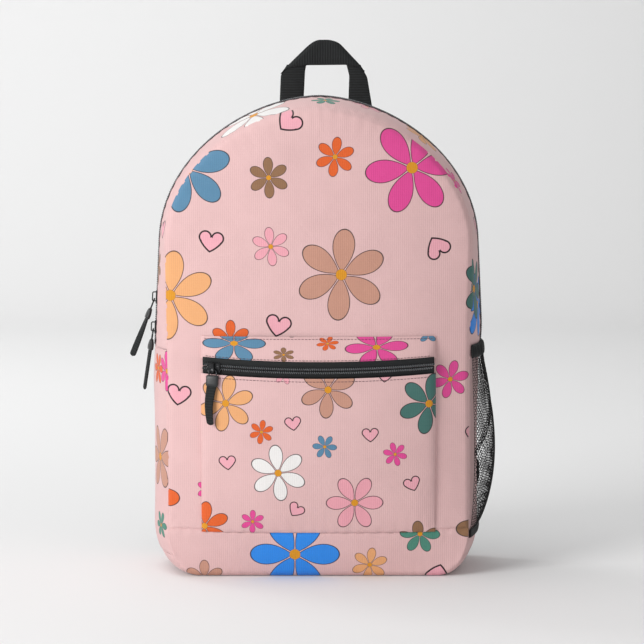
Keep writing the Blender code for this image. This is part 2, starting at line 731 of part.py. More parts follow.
def add_strap(word, side):
    """A padded strap, its ladder lock and its webbing, from the yoke to the side seam."""

    def mirrored(p):
        return Vector((side * p[0], p[1], p[2]))

    controls = [Vector(p) for p in ((0.046, 0.0795, 0.4135), (0.050, 0.0930, 0.370), (0.060, 0.1020, 0.305))]
    controls += [Vector((0.075, 0.1010, 0.235)), PAD_END]
    line = curve_points(controls, 13)
    outer, inner = [], []
    for i, point in enumerate(line):
        run = (line[min(i + 1, 12)] - line[max(i - 1, 0)]).normalized()
        normal = Vector((1.0, 0.0, 0.0)).cross(run).normalized() * -1
        width_way = run.cross(normal).normalized()
        taper = 1 - 0.48 * smooth((i - 10) / 2) if i > 10 else 1.0
        thick = PAD_THICKNESS * (0.45 + 0.55 * smooth(min(i, 12 - i) / 2))
        shares = (-1, -0.88, -0.4, 0, 0.4, 0.88, 1)
        depth = (0.42, 0.85, 1, 1, 1, 0.85, 0.42)
        places = [point + width_way * (PAD_WIDTH / 2 * taper * c) for c in shares]
        outer.append([mirrored(p + normal * thick / 2 * d) for p, d in zip(places, depth)])
        inner.append([mirrored(p - normal * thick / 2 * d) for p, d in zip(places, depth)])
    add_shell(f"strap_pad_{word}", outer, inner, air_mesh())

    down = (ANCHOR - PAD_END).normalized()
    out = Vector((1.0, 0.0, 0.0)).cross(down).normalized() * -1
    out = (out - down * out.dot(down)).normalized()
    width = out.cross(down).normalized()

    def at(u, w, t=0.0):
        return mirrored(PAD_END + down * u + out * w + width * t)

    mirror = Matrix.Diagonal((side, 1.0, 1.0, 1.0))
    plate = mirror @ frame_of(PAD_END, width, down, out)
    across = [-0.0160, -0.0134, 0.0134, 0.0160]
    along = [0.0015, 0.0045, 0.0125, 0.0155, 0.0265, 0.0295]
    windows = {(1, 1), (1, 3)}
    add_frame_plate(f"ladder_lock_{word}", plate, across, along, windows, -0.0015, 0.0015, moulded_plastic())
    side_way = Vector((side * width.x, width.y, width.z))

    def strip(name, path):
        add_ribbon(name, [at(u, w) for u, w in path], side_way, WEBBING_WIDTH, WEBBING, black_webbing())

    hook = [(0.0004, 0.0030), (0.0030, 0.0030), (0.0052, 0.0024), (0.0063, 0.0)]
    strip(f"buckle_loop_{word}", hook + [(u, -w) for u, w in reversed(hook[:-1])])
    wrap = [(0.0340, -0.0048), (0.0250, -0.0046), (0.0180, -0.0030), (0.0130, -0.0025), (0.0107, -0.0018)]
    wrap += [(0.0098, 0.0), (0.0107, 0.0018), (0.0130, 0.0026), (0.0155, 0.0023), (0.0185, 0.0004)]
    wrap += [(0.0220, -0.0018), (0.0260, -0.0026), (0.0310, -0.0026), (0.0380, -0.0010), (0.0480, 0.0010)]
    wrap += [(0.0650, 0.0020), (0.0850, 0.0025), (0.1050, 0.0020)]
    strip(f"webbing_tail_{word}", wrap)
    length = (ANCHOR - PAD_END).length
    strip(f"strap_webbing_{word}", [(0.0345, -0.0048), (0.0500, -0.0048), (length - 0.004, -0.0036)])
    tab = [(0.1490, 0.0640), (0.1650, 0.0700), (0.1712, 0.0790), (0.1695, 0.0970), (0.1490, 0.1080)]
    ring = [mirrored((x, BACK_Y + GAP + FABRIC + 0.0014, z)) for x, z in tab]
    add_prism(f"strap_anchor_{word}", ring, Vector((0.0, 1.0, 0.0)), 0.0018, black_webbing())


def add_back_fittings():
    rows = [(steps(-half, half, 9), z) for half, z in ((0.080, 0.4175), (0.076, 0.4280), (0.060, 0.4390))]
    add_back_patch("strap_yoke", rows, 0.0020, black_webbing())
    add_handle()
    for word, side in (("left", -1), ("right", 1)):
        add_strap(word, side)


def build_backpack():
    for old in list(bpy.data.objects):
        bpy.data.objects.remove(old)
    add_front_panels()
    add_back()
    add_gussets()
    add_pocket()
    add_zip_hardware()
    add_mesh_pocket()
    add_inner_pocket()
    add_back_fittings()


build_backpack()
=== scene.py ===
import math

import bmesh
import bpy
import numpy as np
from mathutils import Matrix, Vector


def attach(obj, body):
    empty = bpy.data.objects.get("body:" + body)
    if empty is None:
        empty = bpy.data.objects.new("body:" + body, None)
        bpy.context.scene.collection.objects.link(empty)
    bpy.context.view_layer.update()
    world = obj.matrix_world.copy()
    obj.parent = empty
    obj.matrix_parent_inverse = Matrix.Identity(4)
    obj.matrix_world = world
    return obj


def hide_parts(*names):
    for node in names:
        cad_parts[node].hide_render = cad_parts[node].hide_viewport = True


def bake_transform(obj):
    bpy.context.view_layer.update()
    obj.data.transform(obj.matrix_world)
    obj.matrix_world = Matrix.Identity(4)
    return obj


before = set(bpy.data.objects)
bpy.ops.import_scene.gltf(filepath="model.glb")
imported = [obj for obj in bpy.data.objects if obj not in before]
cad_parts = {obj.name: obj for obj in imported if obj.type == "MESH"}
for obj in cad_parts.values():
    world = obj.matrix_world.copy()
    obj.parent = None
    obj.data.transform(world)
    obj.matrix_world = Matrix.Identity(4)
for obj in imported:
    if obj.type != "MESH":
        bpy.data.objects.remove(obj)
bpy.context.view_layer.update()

# Sizes in metres. Most are the CAD's own. The arch tops, bottom corners, base lift and side pocket
# were fitted closer to the photo here.
FRONT_Y, BACK_Y = -0.062, 0.068
LOW_WIDTHS = (0.147, 0.164, 0.154)
ARCH_WIDTHS = (0.1495, 0.1575, 0.150)
TOPS = (0.4578, 0.4685, 0.458)
CORNER_WIDTH, CORNER_HEIGHT, CORNER_POWERS = 0.038, 0.048, (0.60, 1.0)
LEAN_Z, ARCH_Z, ARCH_CENTRE_Z, ARCH_POWER = 0.190, 0.330, 0.3235, 1.12
BASE_LIFT = 0.0003
GAP = 0.0003
FABRIC = 0.0022
CLOTH = 0.0009
FRONT_CROWN, BACK_CROWN, CROWN_POWER, CROWN_Z = 0.022, 0.005, 2.4, 0.200
ZIP_END_Z = 0.222
BAND_EDGE = 0.0072
POCKET_HALF_WIDTH, POCKET_BOTTOM, POCKET_TOP = 0.114, 0.045, 0.237
POCKET_ZIP_Z, POCKET_ZIP_RISE = 0.2045, 0.004
POCKET_PROUD_CENTRE, POCKET_PROUD_END = 0.0125, 0.0090
MESH_BOTTOM, MESH_TOP, ELASTIC_TOP, MESH_BULGE, MESH_TOP_STAND = 0.045, 0.2145, 0.2270, 0.0165, 0.0004
SQUEEZE_LOW, SQUEEZE_HIGH, SQUEEZE_SHARE = 0.200, 0.250, 0.40
SHELL_CENTRE = (0.0, 0.0, 0.2)
CLOTH_BEHIND = np.array([0.0, CLOTH, 0.0])
FLAP_BLEND = ((0.0, 0.0, 0.315), (0.0, 0.0, 0.385))

scene = bpy.context.scene
root = scene.collection


# Materials.


class Nodes:
    """Small helpers for building one node tree."""

    def __init__(self, tree):
        self.tree = tree

    def add(self, kind, **settings):
        node = self.tree.nodes.new(kind)
        for key, value in settings.items():
            setattr(node, key, value)
        return node

    def feed(self, socket, value):
        if isinstance(value, bpy.types.NodeSocket):
            self.tree.links.new(value, socket)
        else:
            socket.default_value = value

    def fed(self, node, values, out=0):
        """An output of a node whose first inputs are fed in order."""
        for socket, value in zip(node.inputs, values):
            self.feed(socket, value)
        return node.outputs[out]

    def math(self, operation, *values):
        return self.fed(self.add("ShaderNodeMath", operation=operation), values)

    def vector(self, operation, *values, out=0):
        return self.fed(self.add("ShaderNodeVectorMath", operation=operation), values, out)

    def split(self, value):
        node = self.add("ShaderNodeSeparateXYZ")
        self.feed(node.inputs[0], value)
        return node.outputs

    def join(self, x, y):
        return self.fed(self.add("ShaderNodeCombineXYZ"), (x, y, 0.0))

    def mix(self, share, a, b, blend="MIX"):
        node = self.add("ShaderNodeMix", data_type="RGBA", blend_type=blend)
        for index, value in ((0, share), (6, a), (7, b)):
            self.feed(node.inputs[index], value)
        return node.outputs[2]

    def ramp(self, value, low, high, to_low=0.0, to_high=1.0):
        return self.fed(self.add("ShaderNodeMapRange", clamp=True), (value, low, high, to_low, to_high))

    def noise(self, place, scale, detail=2.0, roughness=0.5):
        node = self.add("ShaderNodeTexNoise")
        given = {"Vector": place, "Scale": scale, "Detail": detail, "Roughness": roughness}
        for key, value in given.items():
            self.feed(node.inputs[key], value)
        return node.outputs[0]

    def bump(self, height, distance, strength, under=None):
        """A bump of a height, on top of the bump under it if there is one."""
        node = self.add("ShaderNodeBump")
        given = {"Height": height, "Distance": distance, "Strength": strength}
        if under is not None:
            given["Normal"] = under
        for key, value in given.items():
            self.feed(node.inputs[key], value)
        return node.outputs[0]


def rgba(colour, share=1.0):
    """A shader colour, made darker or lighter by share."""
    return (*(share * c for c in colour), 1.0)


def srgb(text):
    """A linear colour from a six-digit sRGB code."""
    values = [int(text[i : i + 2], 16) / 255 for i in (0, 2, 4)]
    return tuple(v / 12.92 if v <= 0.04045 else ((v + 0.055) / 1.055) ** 2.4 for v in values)


# Painted shade: each print ink is darkened to this share of its code, in place of dimmer light on the bag.
INK_SHADE_SHARE = 0.80


def shaded_ink(text):
    """A print ink: an sRGB code darkened by painted shade, in place of dimmer light on the bag."""
    return tuple(INK_SHADE_SHARE * v for v in srgb(text))


def group_tree(name, inputs):
    tree = bpy.data.node_groups.new(name, "ShaderNodeTree")
    for socket, kind in inputs:
        tree.interface.new_socket(socket, in_out="INPUT", socket_type=kind)
    tree.interface.new_socket("Colour", in_out="OUTPUT", socket_type="NodeSocketColor")
    nodes = Nodes(tree)
    return nodes, nodes.add("NodeGroupInput").outputs, nodes.add("NodeGroupOutput").inputs[0]


MOTIF_INPUTS = [("Place", "NodeSocketVector"), ("Centre", "NodeSocketVector"), ("Radius", "NodeSocketFloat")]
MOTIF_INPUTS += [("Turn", "NodeSocketFloat"), ("Fill", "NodeSocketColor"), ("Under", "NodeSocketColor")]
INK = rgba((0.020, 0.014, 0.016))
# Motif sizes are shares of the motif's radius. The widest lines and the soft edges are in metres.
TWO_TURNS = 12.566
PETAL_START, PETAL_SHOULDER, PETAL_CURVE, PETAL_HALF_WIDTH = 0.05, 0.64, 0.88, 0.246
PETAL_LINE, PETAL_LINE_WIDEST, PETAL_LINE_COVER = 0.025, 0.00078, 0.94
DISC_RADIUS, DISC_LINE_COVER = 0.118, 0.55
LOBE_X, LOBE_Y, LOBE_RADIUS = 0.48, 0.32, 0.52
FLANK_PAST_MIDDLE, FLANK_Y, FLANK_RADIUS = 1.335, 1.472, 2.67
SLANT, SLANT_FROM, SLANT_SCALE = 0.511, 0.50, 0.8904
HEART_LINE, HEART_LINE_WIDEST = 0.150, 0.00185


def flower_group():
    """Six petals, pointed at the centre and round at the tip, with a thin outline and a disc."""
    n, given, result = group_tree("flower", MOTIF_INPUTS)
    across = n.split(n.vector("SUBTRACT", given["Place"], given["Centre"]))
    x, y = (n.math("DIVIDE", across[i], given["Radius"]) for i in (0, 1))
    reach = n.vector("LENGTH", n.join(x, y), out=1)
    turned = n.math("ADD", n.math("ARCTAN2", y, x), n.math("ADD", given["Turn"], TWO_TURNS))
    angle = n.math("PINGPONG", turned, math.pi / 6)
    along = n.math("MULTIPLY", reach, n.math("COSINE", angle))
    beside = n.math("MULTIPLY", reach, n.math("SINE", angle))
    swell = n.math("SINE", n.ramp(along, PETAL_START, PETAL_SHOULDER, 0.0, math.pi / 2))
    swell = n.math("MULTIPLY", n.math("POWER", swell, PETAL_CURVE), PETAL_HALF_WIDTH)
    half = n.math("MAXIMUM", swell, 0.001)
    past = n.math("DIVIDE", n.math("SUBTRACT", along, PETAL_SHOULDER), 1 - PETAL_SHOULDER)
    past = n.math("MAXIMUM", past, 0.0)
    petal = n.vector("LENGTH", n.join(past, n.math("DIVIDE", beside, half)), out=1)
    depth = n.math("MULTIPLY", n.math("SUBTRACT", 1.0, petal), half)
    depth = n.math("MULTIPLY", depth, given["Radius"])
    inside = n.ramp(depth, -0.0001, 0.0002)
    line = n.math("MINIMUM", n.math("MULTIPLY", given["Radius"], PETAL_LINE), PETAL_LINE_WIDEST)
    rim = n.ramp(n.math("SUBTRACT", depth, line), 0.00018, -0.00012)
    drawn = n.mix(n.math("MULTIPLY", rim, PETAL_LINE_COVER), given["Fill"], INK)
    colour = n.mix(inside, given["Under"], drawn)
    disc = n.math("MULTIPLY", n.math("SUBTRACT", DISC_RADIUS, reach), given["Radius"])
    colour = n.mix(n.math("MULTIPLY", n.ramp(disc, -0.0006, -0.0002), DISC_LINE_COVER), colour, INK)
    n.feed(result, n.mix(n.ramp(disc, -0.0002, 0.0001), colour, rgba(shaded_ink("e59b12"))))
    return n.tree


def from_circle(n, x, y, radius):
    """Distance from a circle round the origin, less than nothing inside it."""
    return n.math("SUBTRACT", n.vector("LENGTH", n.join(x, y), out=1), radius)


def heart_group():
    """A heart with a dark outline of even width, point down before its turn."""
    n, given, result = group_tree("heart", MOTIF_INPUTS)
    turn = n.add("ShaderNodeVectorRotate", rotation_type="Z_AXIS")
    n.feed(turn.inputs["Vector"], n.vector("SUBTRACT", given["Place"], given["Centre"]))
    n.feed(turn.inputs["Angle"], given["Turn"])
    across = n.split(turn.outputs[0])
    x = n.math("DIVIDE", n.math("ABSOLUTE", across[0]), given["Radius"])
    y = n.math("DIVIDE", across[1], given["Radius"])
    lobe = from_circle(n, n.math("SUBTRACT", x, LOBE_X), n.math("SUBTRACT", y, LOBE_Y), LOBE_RADIUS)
    flank_x, flank_y = n.math("ADD", x, FLANK_PAST_MIDDLE), n.math("SUBTRACT", y, FLANK_Y)
    flank = from_circle(n, flank_x, flank_y, FLANK_RADIUS)
    slant = n.math("SUBTRACT", n.math("MULTIPLY_ADD", x, SLANT, y), SLANT_FROM)
    slant = n.math("MULTIPLY", slant, SLANT_SCALE)
    field = n.math("MINIMUM", lobe, n.math("MAXIMUM", flank, slant))
    distance = n.math("MULTIPLY", field, given["Radius"])
    inside = n.ramp(distance, 0.0001, -0.0003)
    line = n.math("MINIMUM", n.math("MULTIPLY", given["Radius"], HEART_LINE), HEART_LINE_WIDEST)
    rim = n.ramp(n.math("ADD", distance, line), 0.0, 0.0003)
    n.feed(result, n.mix(inside, given["Under"], n.mix(rim, given["Fill"], rgba(srgb("1c080e")))))
    return n.tree


FLOWER, HEART = flower_group(), heart_group()

INKS = {
    "blue": "5a8bac", "brown": "976f4e", "orange": "ea631f", "magenta": "ec4b9c", "blush": "f6abb8",
    "tan": "cf9984", "peach": "f2b077", "green": "457770", "white": "f7f5f3", "cobalt": "2790f4",
    "teal": "4c8f7c", "heart": "f6b0bd",
}


GROUND = shaded_ink("ebc2c1")
YARN_SHADOW = rgba((0.30, 0.20, 0.20))
UPRIGHT_YARN, LEVEL_YARN = 0.0020, 0.0016


def new_material(name):
    """A new material, its node helpers, its shader and its place on the flat cloth."""
    made = bpy.data.materials.new(name)
    made.use_nodes = True
    n = Nodes(made.node_tree)
    place = n.add("ShaderNodeAttribute", attribute_name="cloth").outputs["Vector"]
    return made, n, made.node_tree.nodes["Principled BSDF"], place


def dress(n, shader, colour, roughness, normal):
    """Feeds a shader its colour, roughness and bump."""
    for key, value in (("Base Color", colour), ("Roughness", roughness), ("Normal", normal)):
        n.feed(shader.inputs[key], value)


def printed_material(name, motifs):
    """Printed woven polyester. Each motif is (ink, x, z, radius in mm, turn in degrees)."""
    made, n, shader, place = new_material(name)
    shader.inputs["Sheen Weight"].default_value = 0.12
    shader.inputs["Sheen Roughness"].default_value = 0.45
    wander = n.ramp(n.noise(place, 9.0, 3.0), 0.35, 0.65, 0.0, 0.35)
    colour = n.mix(wander, rgba(GROUND), rgba(GROUND, 0.93))
    for ink, x, z, radius, turn in motifs:
        motif = n.add("ShaderNodeGroup")
        motif.node_tree = HEART if ink == "heart" else FLOWER
        values = {"Place": place, "Centre": (x / 1000, z / 1000, 0.0), "Radius": radius / 1000}
        values.update({"Turn": math.radians(turn), "Fill": rgba(shaded_ink(INKS[ink])), "Under": colour})
        for key, value in values.items():
            n.feed(motif.inputs[key], value)
        colour = motif.outputs[0]
    weave, height = canvas_pattern(n, place)
    patches = n.ramp(n.noise(place, 45.0, 2.0), 0.35, 0.65, 0.05, 0.13)
    colour = n.mix(n.math("MULTIPLY", weave, patches), colour, YARN_SHADOW, "MULTIPLY")
    slub = n.noise(n.vector("MULTIPLY", place, (90.0, 700.0, 1.0)), 1.0, 3.0)
    rough = n.ramp(slub, 0.3, 0.7, 0.72, 0.86)
    crumple = n.bump(n.noise(place, 60.0, 4.0, 0.6), 0.0012, 0.5)
    fine = n.bump(n.math("MULTIPLY_ADD", slub, 0.5, height), 0.00022, 0.6, crumple)
    dress(n, shader, colour, rough, fine)
    return made


def yarns(n, place, pitch):
    """A wave along one direction of the cloth."""
    return n.math("SINE", n.math("MULTIPLY", place, 2 * math.pi / pitch))


def canvas_pattern(n, place):
    """Painted shade between the yarns, and the height of a plain canvas whose upright yarns show a little
    more.
    """
    parts = n.split(place)
    upright, level = yarns(n, parts[0], UPRIGHT_YARN), yarns(n, parts[1], LEVEL_YARN)
    both = n.math("MULTIPLY_ADD", upright, 0.34, n.math("MULTIPLY", level, 0.14))
    height = n.math("ADD", both, 0.5)
    return n.ramp(height, 0.75, 0.15), height


def weave_pattern(n, place, rib, yarn):
    """Painted shade between the yarns and the height of a plain weave, with ribs across the piece."""
    parts = n.split(place)
    up, along = yarns(n, parts[1], rib), yarns(n, parts[0], yarn)
    crossing = n.math("MULTIPLY", up, n.math("MULTIPLY_ADD", along, 0.35, 0.65))
    height = n.math("MULTIPLY_ADD", crossing, 0.5, 0.5)
    return n.ramp(height, 0.55, 0.1), height


def plain_material(name, colour, roughness, metallic=0.0, sheen=0.0):
    """A base for the black and grey finishes, with what new_material gives."""
    made, n, shader, place = new_material(name)
    values = {"Base Color": rgba(colour), "Roughness": roughness, "Metallic": metallic}
    values.update({"Sheen Weight": sheen, "Sheen Roughness": 0.4})
    for key, value in values.items():
        shader.inputs[key].default_value = value
    return made, n, shader, place


def woven_material(name, colour, light, rib, yarn, depth, roughness, sheen=0.03):
    """Black trim with visible yarns: rib across the piece, yarn along it."""
    made, n, shader, place = plain_material(name, colour, roughness, sheen=sheen)
    yarn_gap_shade, height = weave_pattern(n, place, rib, yarn)
    shader.inputs["Specular IOR Level"].default_value = 0.28
    dust = n.noise(place, 140.0, 4.0, 0.65)
    bright = n.mix(n.ramp(dust, 0.35, 0.75), rgba(colour), rgba(light))
    # Painted shade between the yarns: the colour darkens where the weave dips.
    mixed = n.mix(yarn_gap_shade, bright, rgba(colour, 0.35))
    rough = n.ramp(dust, 0.3, 0.7, roughness - 0.08, roughness + 0.08)
    dress(n, shader, mixed, rough, n.bump(height, depth, 0.8))
    return made


def air_mesh_material():
    """Knitted spacer cloth with rows of small holes, whose darkness is painted shade."""
    made, n, shader, place = plain_material("air_mesh", (0.020, 0.021, 0.023), 0.85, sheen=0.3)
    cells = n.add("ShaderNodeTexVoronoi", feature="F1")
    n.feed(cells.inputs["Vector"], n.vector("MULTIPLY", place, (1.0, 0.8, 1.0)))
    cells.inputs["Scale"].default_value = 330.0
    cells.inputs["Randomness"].default_value = 0.25
    hole = n.ramp(cells.outputs["Distance"], 0.28, 0.42)
    dust = n.noise(place, 90.0, 4.0, 0.6)
    light = n.mix(n.ramp(dust, 0.3, 0.75), rgba((0.040, 0.042, 0.046)), rgba((0.070, 0.073, 0.078)))
    # Painted shade: the holes are coloured near black for the shade inside them.
    n.feed(shader.inputs["Base Color"], n.mix(hole, rgba((0.006, 0.006, 0.007)), light))
    n.feed(shader.inputs["Normal"], n.bump(hole, 0.0007, 0.9))
    return made


def enamel_material():
    """Dark slider enamel, rubbed to the metal in places along its edges."""
    made, n, shader, _ = plain_material("slider_enamel", (0.028, 0.029, 0.031), 0.34, metallic=0.85)
    place = n.add("ShaderNodeTexCoord").outputs["Object"]
    grain = n.noise(place, 1500.0, 4.0, 0.6)
    rubbed = n.ramp(n.noise(place, 420.0, 3.0, 0.6), 0.56, 0.72)
    sharp = n.ramp(n.add("ShaderNodeNewGeometry").outputs["Pointiness"], 0.50, 0.56)
    edge = n.math("MULTIPLY", rubbed, sharp)
    colour = n.mix(edge, rgba((0.030, 0.031, 0.033)), rgba((0.30, 0.30, 0.31)))
    dress(n, shader, colour, n.ramp(grain, 0.3, 0.7, 0.26, 0.44), n.bump(grain, 0.00006, 0.5))
    return made


def moulded_material(name, colour, roughness):
    """Moulded or drawn nylon with a fine grain."""
    made, n, shader, _ = plain_material(name, colour, roughness)
    place = n.add("ShaderNodeTexCoord").outputs["Object"]
    grain = n.noise(place, 2600.0, 3.0, 0.6)
    patch = n.noise(place, 120.0, 3.0, 0.5)
    mixed = n.mix(n.ramp(patch, 0.3, 0.7), rgba(colour), rgba(colour, 1.5))
    rough = n.ramp(grain, 0.3, 0.7, roughness - 0.07, roughness + 0.08)
    dress(n, shader, mixed, rough, n.bump(grain, 0.00008, 0.5))
    return made


FRONT_MOTIFS = [
    ("blue", -127, 398, 43, -16), ("brown", -48, 390, 20, -33), ("orange", 16, 410, 19.5, -22),
    ("magenta", 90.4, 399.5, 46, -7), ("heart", -29, 444, 13.4, 45), ("heart", -104, 328, 12.6, 8),
    ("blush", -46, 323.8, 19, -37), ("tan", 22, 296.8, 44.5, -25), ("peach", -144, 275.6, 44, -24),
    ("heart", 114.7, 323.4, 12.7, 148), ("green", 175, 283, 36, 30), ("heart", -39, 247, 12.8, 12),
    ("orange", -85, 233.0, 20, 30), ("heart", -136, 178.4, 12.4, 8), ("orange", -171, 77.5, 36, 0),
    ("magenta", -107, 87, 12, 30), ("magenta", 128, 194.3, 19, 46), ("heart", 151.7, 139.0, 9.5, 8),
    ("brown", 168, 47, 34, 0),
]
STRIP_MOTIFS = [
    ("cobalt", -23, 22.9, 44, 0), ("tan", -111.7, -3.5, 20, 30), ("peach", 50, 11.8, 18, 39),
    ("teal", 99, 43, 20, 4), ("heart", 117, 2, 12.4, -165), ("brown", 168, 47, 34, 0),
]
POCKET_MOTIFS = [
    ("peach", -89.7, 172.8, 28, 41), ("orange", -55, 145.5, 12, 39), ("heart", -24.5, 153.7, 8.3, -8),
    ("tan", 9.2, 186.8, 28, -25), ("blue", 6, 131.5, 12, 4), ("white", -39, 105.5, 28, 23),
    ("heart", -88, 114.5, 8.6, -6), ("magenta", -64, 56.5, 12, 32), ("heart", -22, 68.5, 8.4, 35),
    ("blush", 35, 75.8, 28, 0), ("heart", 50, 142.5, 8.4, -2), ("magenta", 74, 123.5, 12, 14),
    ("heart", 91, 93.5, 8.6, -20), ("green", 107, 171.9, 30, 41), ("heart", 64, 200.5, 8.6, 5),
    ("blush", -33, 202.5, 11, 10), ("orange", -111, 51, 25, -25), ("brown", 98, 34, 23, 25),
]
POCKET_STRIP_MOTIFS = [
    ("blue", -81.5, 233.4, 31, 0), ("brown", -33.5, 217, 11, 29), ("orange", 8.8, 233.8, 11, -12),
    ("magenta", 56, 228, 31, -5), ("blue", 106, 247, 13, 0), ("heart", -22, 251, 9, 170),
]
GUSSET_MOTIFS = [
    ("white", -72, 468, 43, 10), ("teal", 8, 484, 17, 0), ("orange", -178, 201, 16, 0),
    ("magenta", -150, 201, 20, 30), ("tan", -168, 115, 33, 0), ("teal", -166, 47, 15, 0),
    ("magenta", 139, 391, 16, 0), ("cobalt", 172, 264, 34, 10), ("green", 158, 281, 32, 10),
    ("heart", 180, 345, 12, 15), ("peach", 120, 452, 24, 0), ("heart", -165, 340, 12, 0),
    ("brown", -190, 300, 18, 15), ("blush", 60, 492, 20, 0), ("heart", -210, 250, 11, 20),
    ("tan", -276, 330, 26, 12), ("heart", -268, 404, 12, 20), ("magenta", -286, 235, 18, 5),
    ("blue", -262, 150, 25, 20), ("peach", 276, 352, 26, 30), ("orange", 266, 280, 14, 0),
    ("heart", 290, 420, 12, 10), ("green", -225, 92, 16, 14),
]

front_print = printed_material("front_print", FRONT_MOTIFS)
strip_print = printed_material("strip_print", STRIP_MOTIFS)
pocket_print = printed_material("pocket_print", POCKET_MOTIFS)
pocket_strip_print = printed_material("pocket_strip_print", POCKET_STRIP_MOTIFS)
gusset_print = printed_material("gusset_print", GUSSET_MOTIFS)
# Woven trims: colour, its light yarns, pitch of the ribs and yarns, their depth, and roughness.
thread = woven_material("sewing_thread", srgb("5f4348"), srgb("86646a"), 0.0004, 0.0004, 0.00005, 0.6, 0.1)
black_thread = woven_material(
    "black_thread", (0.02, 0.021, 0.022), (0.06, 0.06, 0.062), 0.0004, 0.0004, 0.00005, 0.6)
lining = woven_material(
    "lining_cloth", (0.030, 0.031, 0.034), (0.055, 0.056, 0.06), 0.0008, 0.0008, 0.00012, 0.6)
webbing = woven_material(
    "ribbed_webbing", (0.008, 0.0095, 0.010), (0.019, 0.022, 0.023), 0.0026, 0.0011, 0.00050, 0.72)
tape_cloth = woven_material(
    "zip_tape", (0.009, 0.0105, 0.011), (0.017, 0.019, 0.020), 0.0008, 0.0010, 0.00015, 0.7)
binding = woven_material(
    "edge_binding", (0.009, 0.010, 0.010), (0.020, 0.021, 0.022), 0.0011, 0.0009, 0.0002, 0.75)
net_cloth = woven_material(
    "net_yarn", (0.008, 0.008, 0.009), (0.020, 0.021, 0.022), 0.0005, 0.0005, 0.00008, 0.8)
air_mesh = air_mesh_material()
enamel = enamel_material()
coil_nylon = moulded_material("coil_nylon", (0.080, 0.084, 0.088), 0.26)
moulded = moulded_material("moulded_plastic", (0.014, 0.014, 0.015), 0.42)
sleeve_plastic = moulded_material("sleeve_plastic", (0.012, 0.013, 0.014), 0.40)


# Mesh helpers.


def new_mesh(name, points, faces, finishes, flat):
    """A mesh with each point's place on the flat cloth, which prints and weaves are drawn by."""
    mesh = bpy.data.meshes.new(name)
    mesh.from_pydata([tuple(p) for p in points], [], faces)
    for finish in finishes:
        mesh.materials.append(finish)
    mesh.attributes.new("cloth", "FLOAT_VECTOR", "POINT").data.foreach_set("vector", flat.ravel())
    return mesh


def placed(name, mesh):
    """A smooth-shaded piece in the scene."""
    mesh.polygons.foreach_set("use_smooth", [True] * len(mesh.polygons))
    mesh.update()
    piece = bpy.data.objects.new(name, mesh)
    root.objects.link(piece)
    return piece


def add_mesh(name, points, faces, finishes, cloth=None, finish_of_face=None):
    """A closed piece. cloth has each point's flat place, which is its x and z if left out."""
    flat = np.zeros((len(points), 3))
    if cloth is None:
        flat[:] = np.asarray(points)[:, [0, 2, 1]]
    else:
        flat[:, :2] = np.asarray(cloth).reshape(-1, 2)
    mesh = new_mesh(name, points, faces, finishes, flat)
    if finish_of_face is not None:
        mesh.polygons.foreach_set("material_index", finish_of_face)
    editable = bmesh.new()
    editable.from_mesh(mesh)
    bmesh.ops.remove_doubles(editable, verts=editable.verts, dist=1e-6)
    bmesh.ops.recalc_face_normals(editable, faces=editable.faces)
    editable.to_mesh(mesh)
    editable.free()
    return placed(name, mesh)


def grid_normals(points, away_from, loop=False):
    """Unit normals of a grid of points, on the side that faces away from a point."""
    rows = np.gradient(points, axis=0)
    columns = np.roll(points, -1, 1) - np.roll(points, 1, 1) if loop else np.gradient(points, axis=1)
    normals = np.cross(rows, columns)
    length = np.linalg.norm(normals, axis=2, keepdims=True)
    normals = normals / np.maximum(length, 1e-12)
    if np.sum(normals * (points - np.asarray(away_from))) < 0:
        normals = -normals
    return normals


def add_grid(name, outer, inner, cloth, outside, inside=None, loop=False):
    """A closed sheet between two grids of points with the same rows and columns."""
    rows, columns = outer.shape[:2]
    below = rows * columns
    index = np.arange(below).reshape(rows, columns)
    along = columns if loop else columns - 1
    faces, finish = [], []
    for r in range(rows - 1):
        for c in range(along):
            d = (c + 1) % columns
            quad = (index[r, c], index[r, d], index[r + 1, d], index[r + 1, c])
            faces.append(tuple(int(i) for i in quad))
            faces.append(tuple(int(i) + below for i in quad[::-1]))
            finish += [0, 1 if inside else 0]
    if loop:
        rims = [[(0, c) for c in range(columns)], [(rows - 1, c) for c in range(columns)]]
    else:
        rim = [(r, 0) for r in range(rows)] + [(rows - 1, c) for c in range(1, columns)]
        rim += [(r, columns - 1) for r in range(rows - 2, -1, -1)]
        rim += [(0, c) for c in range(columns - 2, 0, -1)]
        rims = [rim]
    for rim in rims:
        for a, b in zip(rim, rim[1:] + rim[:1]):
            a, b = int(index[a]), int(index[b])
            faces.append((a, b, b + below, a + below))
            finish.append(0)
    points = np.concatenate([outer.reshape(-1, 3), inner.reshape(-1, 3)])
    both = np.concatenate([cloth.reshape(-1, 2), cloth.reshape(-1, 2)])
    finishes = [outside, inside] if inside else [outside]
    return add_mesh(name, points, faces, finishes, both, finish)


def run_along(points):
    """Length of a path up to each of its points."""
    return np.concatenate([[0.0], np.cumsum(np.linalg.norm(np.diff(points, axis=0), axis=1))])


def along_path(points, pitch, phase=0.0):
    """Evenly spaced places along a path, as numbers of its points with a fraction."""
    run = run_along(points)
    wanted = np.arange(pitch * (0.5 + phase), run[-1] - pitch * 0.3, pitch)
    return np.interp(wanted, run, np.arange(len(points)))


def sampled(values, places):
    """Rows of values at places from along_path."""
    keys = np.arange(len(values))
    return np.stack([np.interp(places, keys, values[:, i]) for i in range(values.shape[1])], 1)


def unit(values):
    return values / np.maximum(np.linalg.norm(values, axis=-1, keepdims=True), 1e-12)


def tube_faces(rings, size):
    """Faces of a tube of rings with size corners each, capped at both ends."""
    faces = []
    for r in range(rings - 1):
        for c in range(size):
            d = (c + 1) % size
            faces.append((r * size + c, r * size + d, (r + 1) * size + d, (r + 1) * size + c))
    faces.append(tuple(range(size))[::-1])
    faces.append(tuple(range((rings - 1) * size, rings * size)))
    return faces


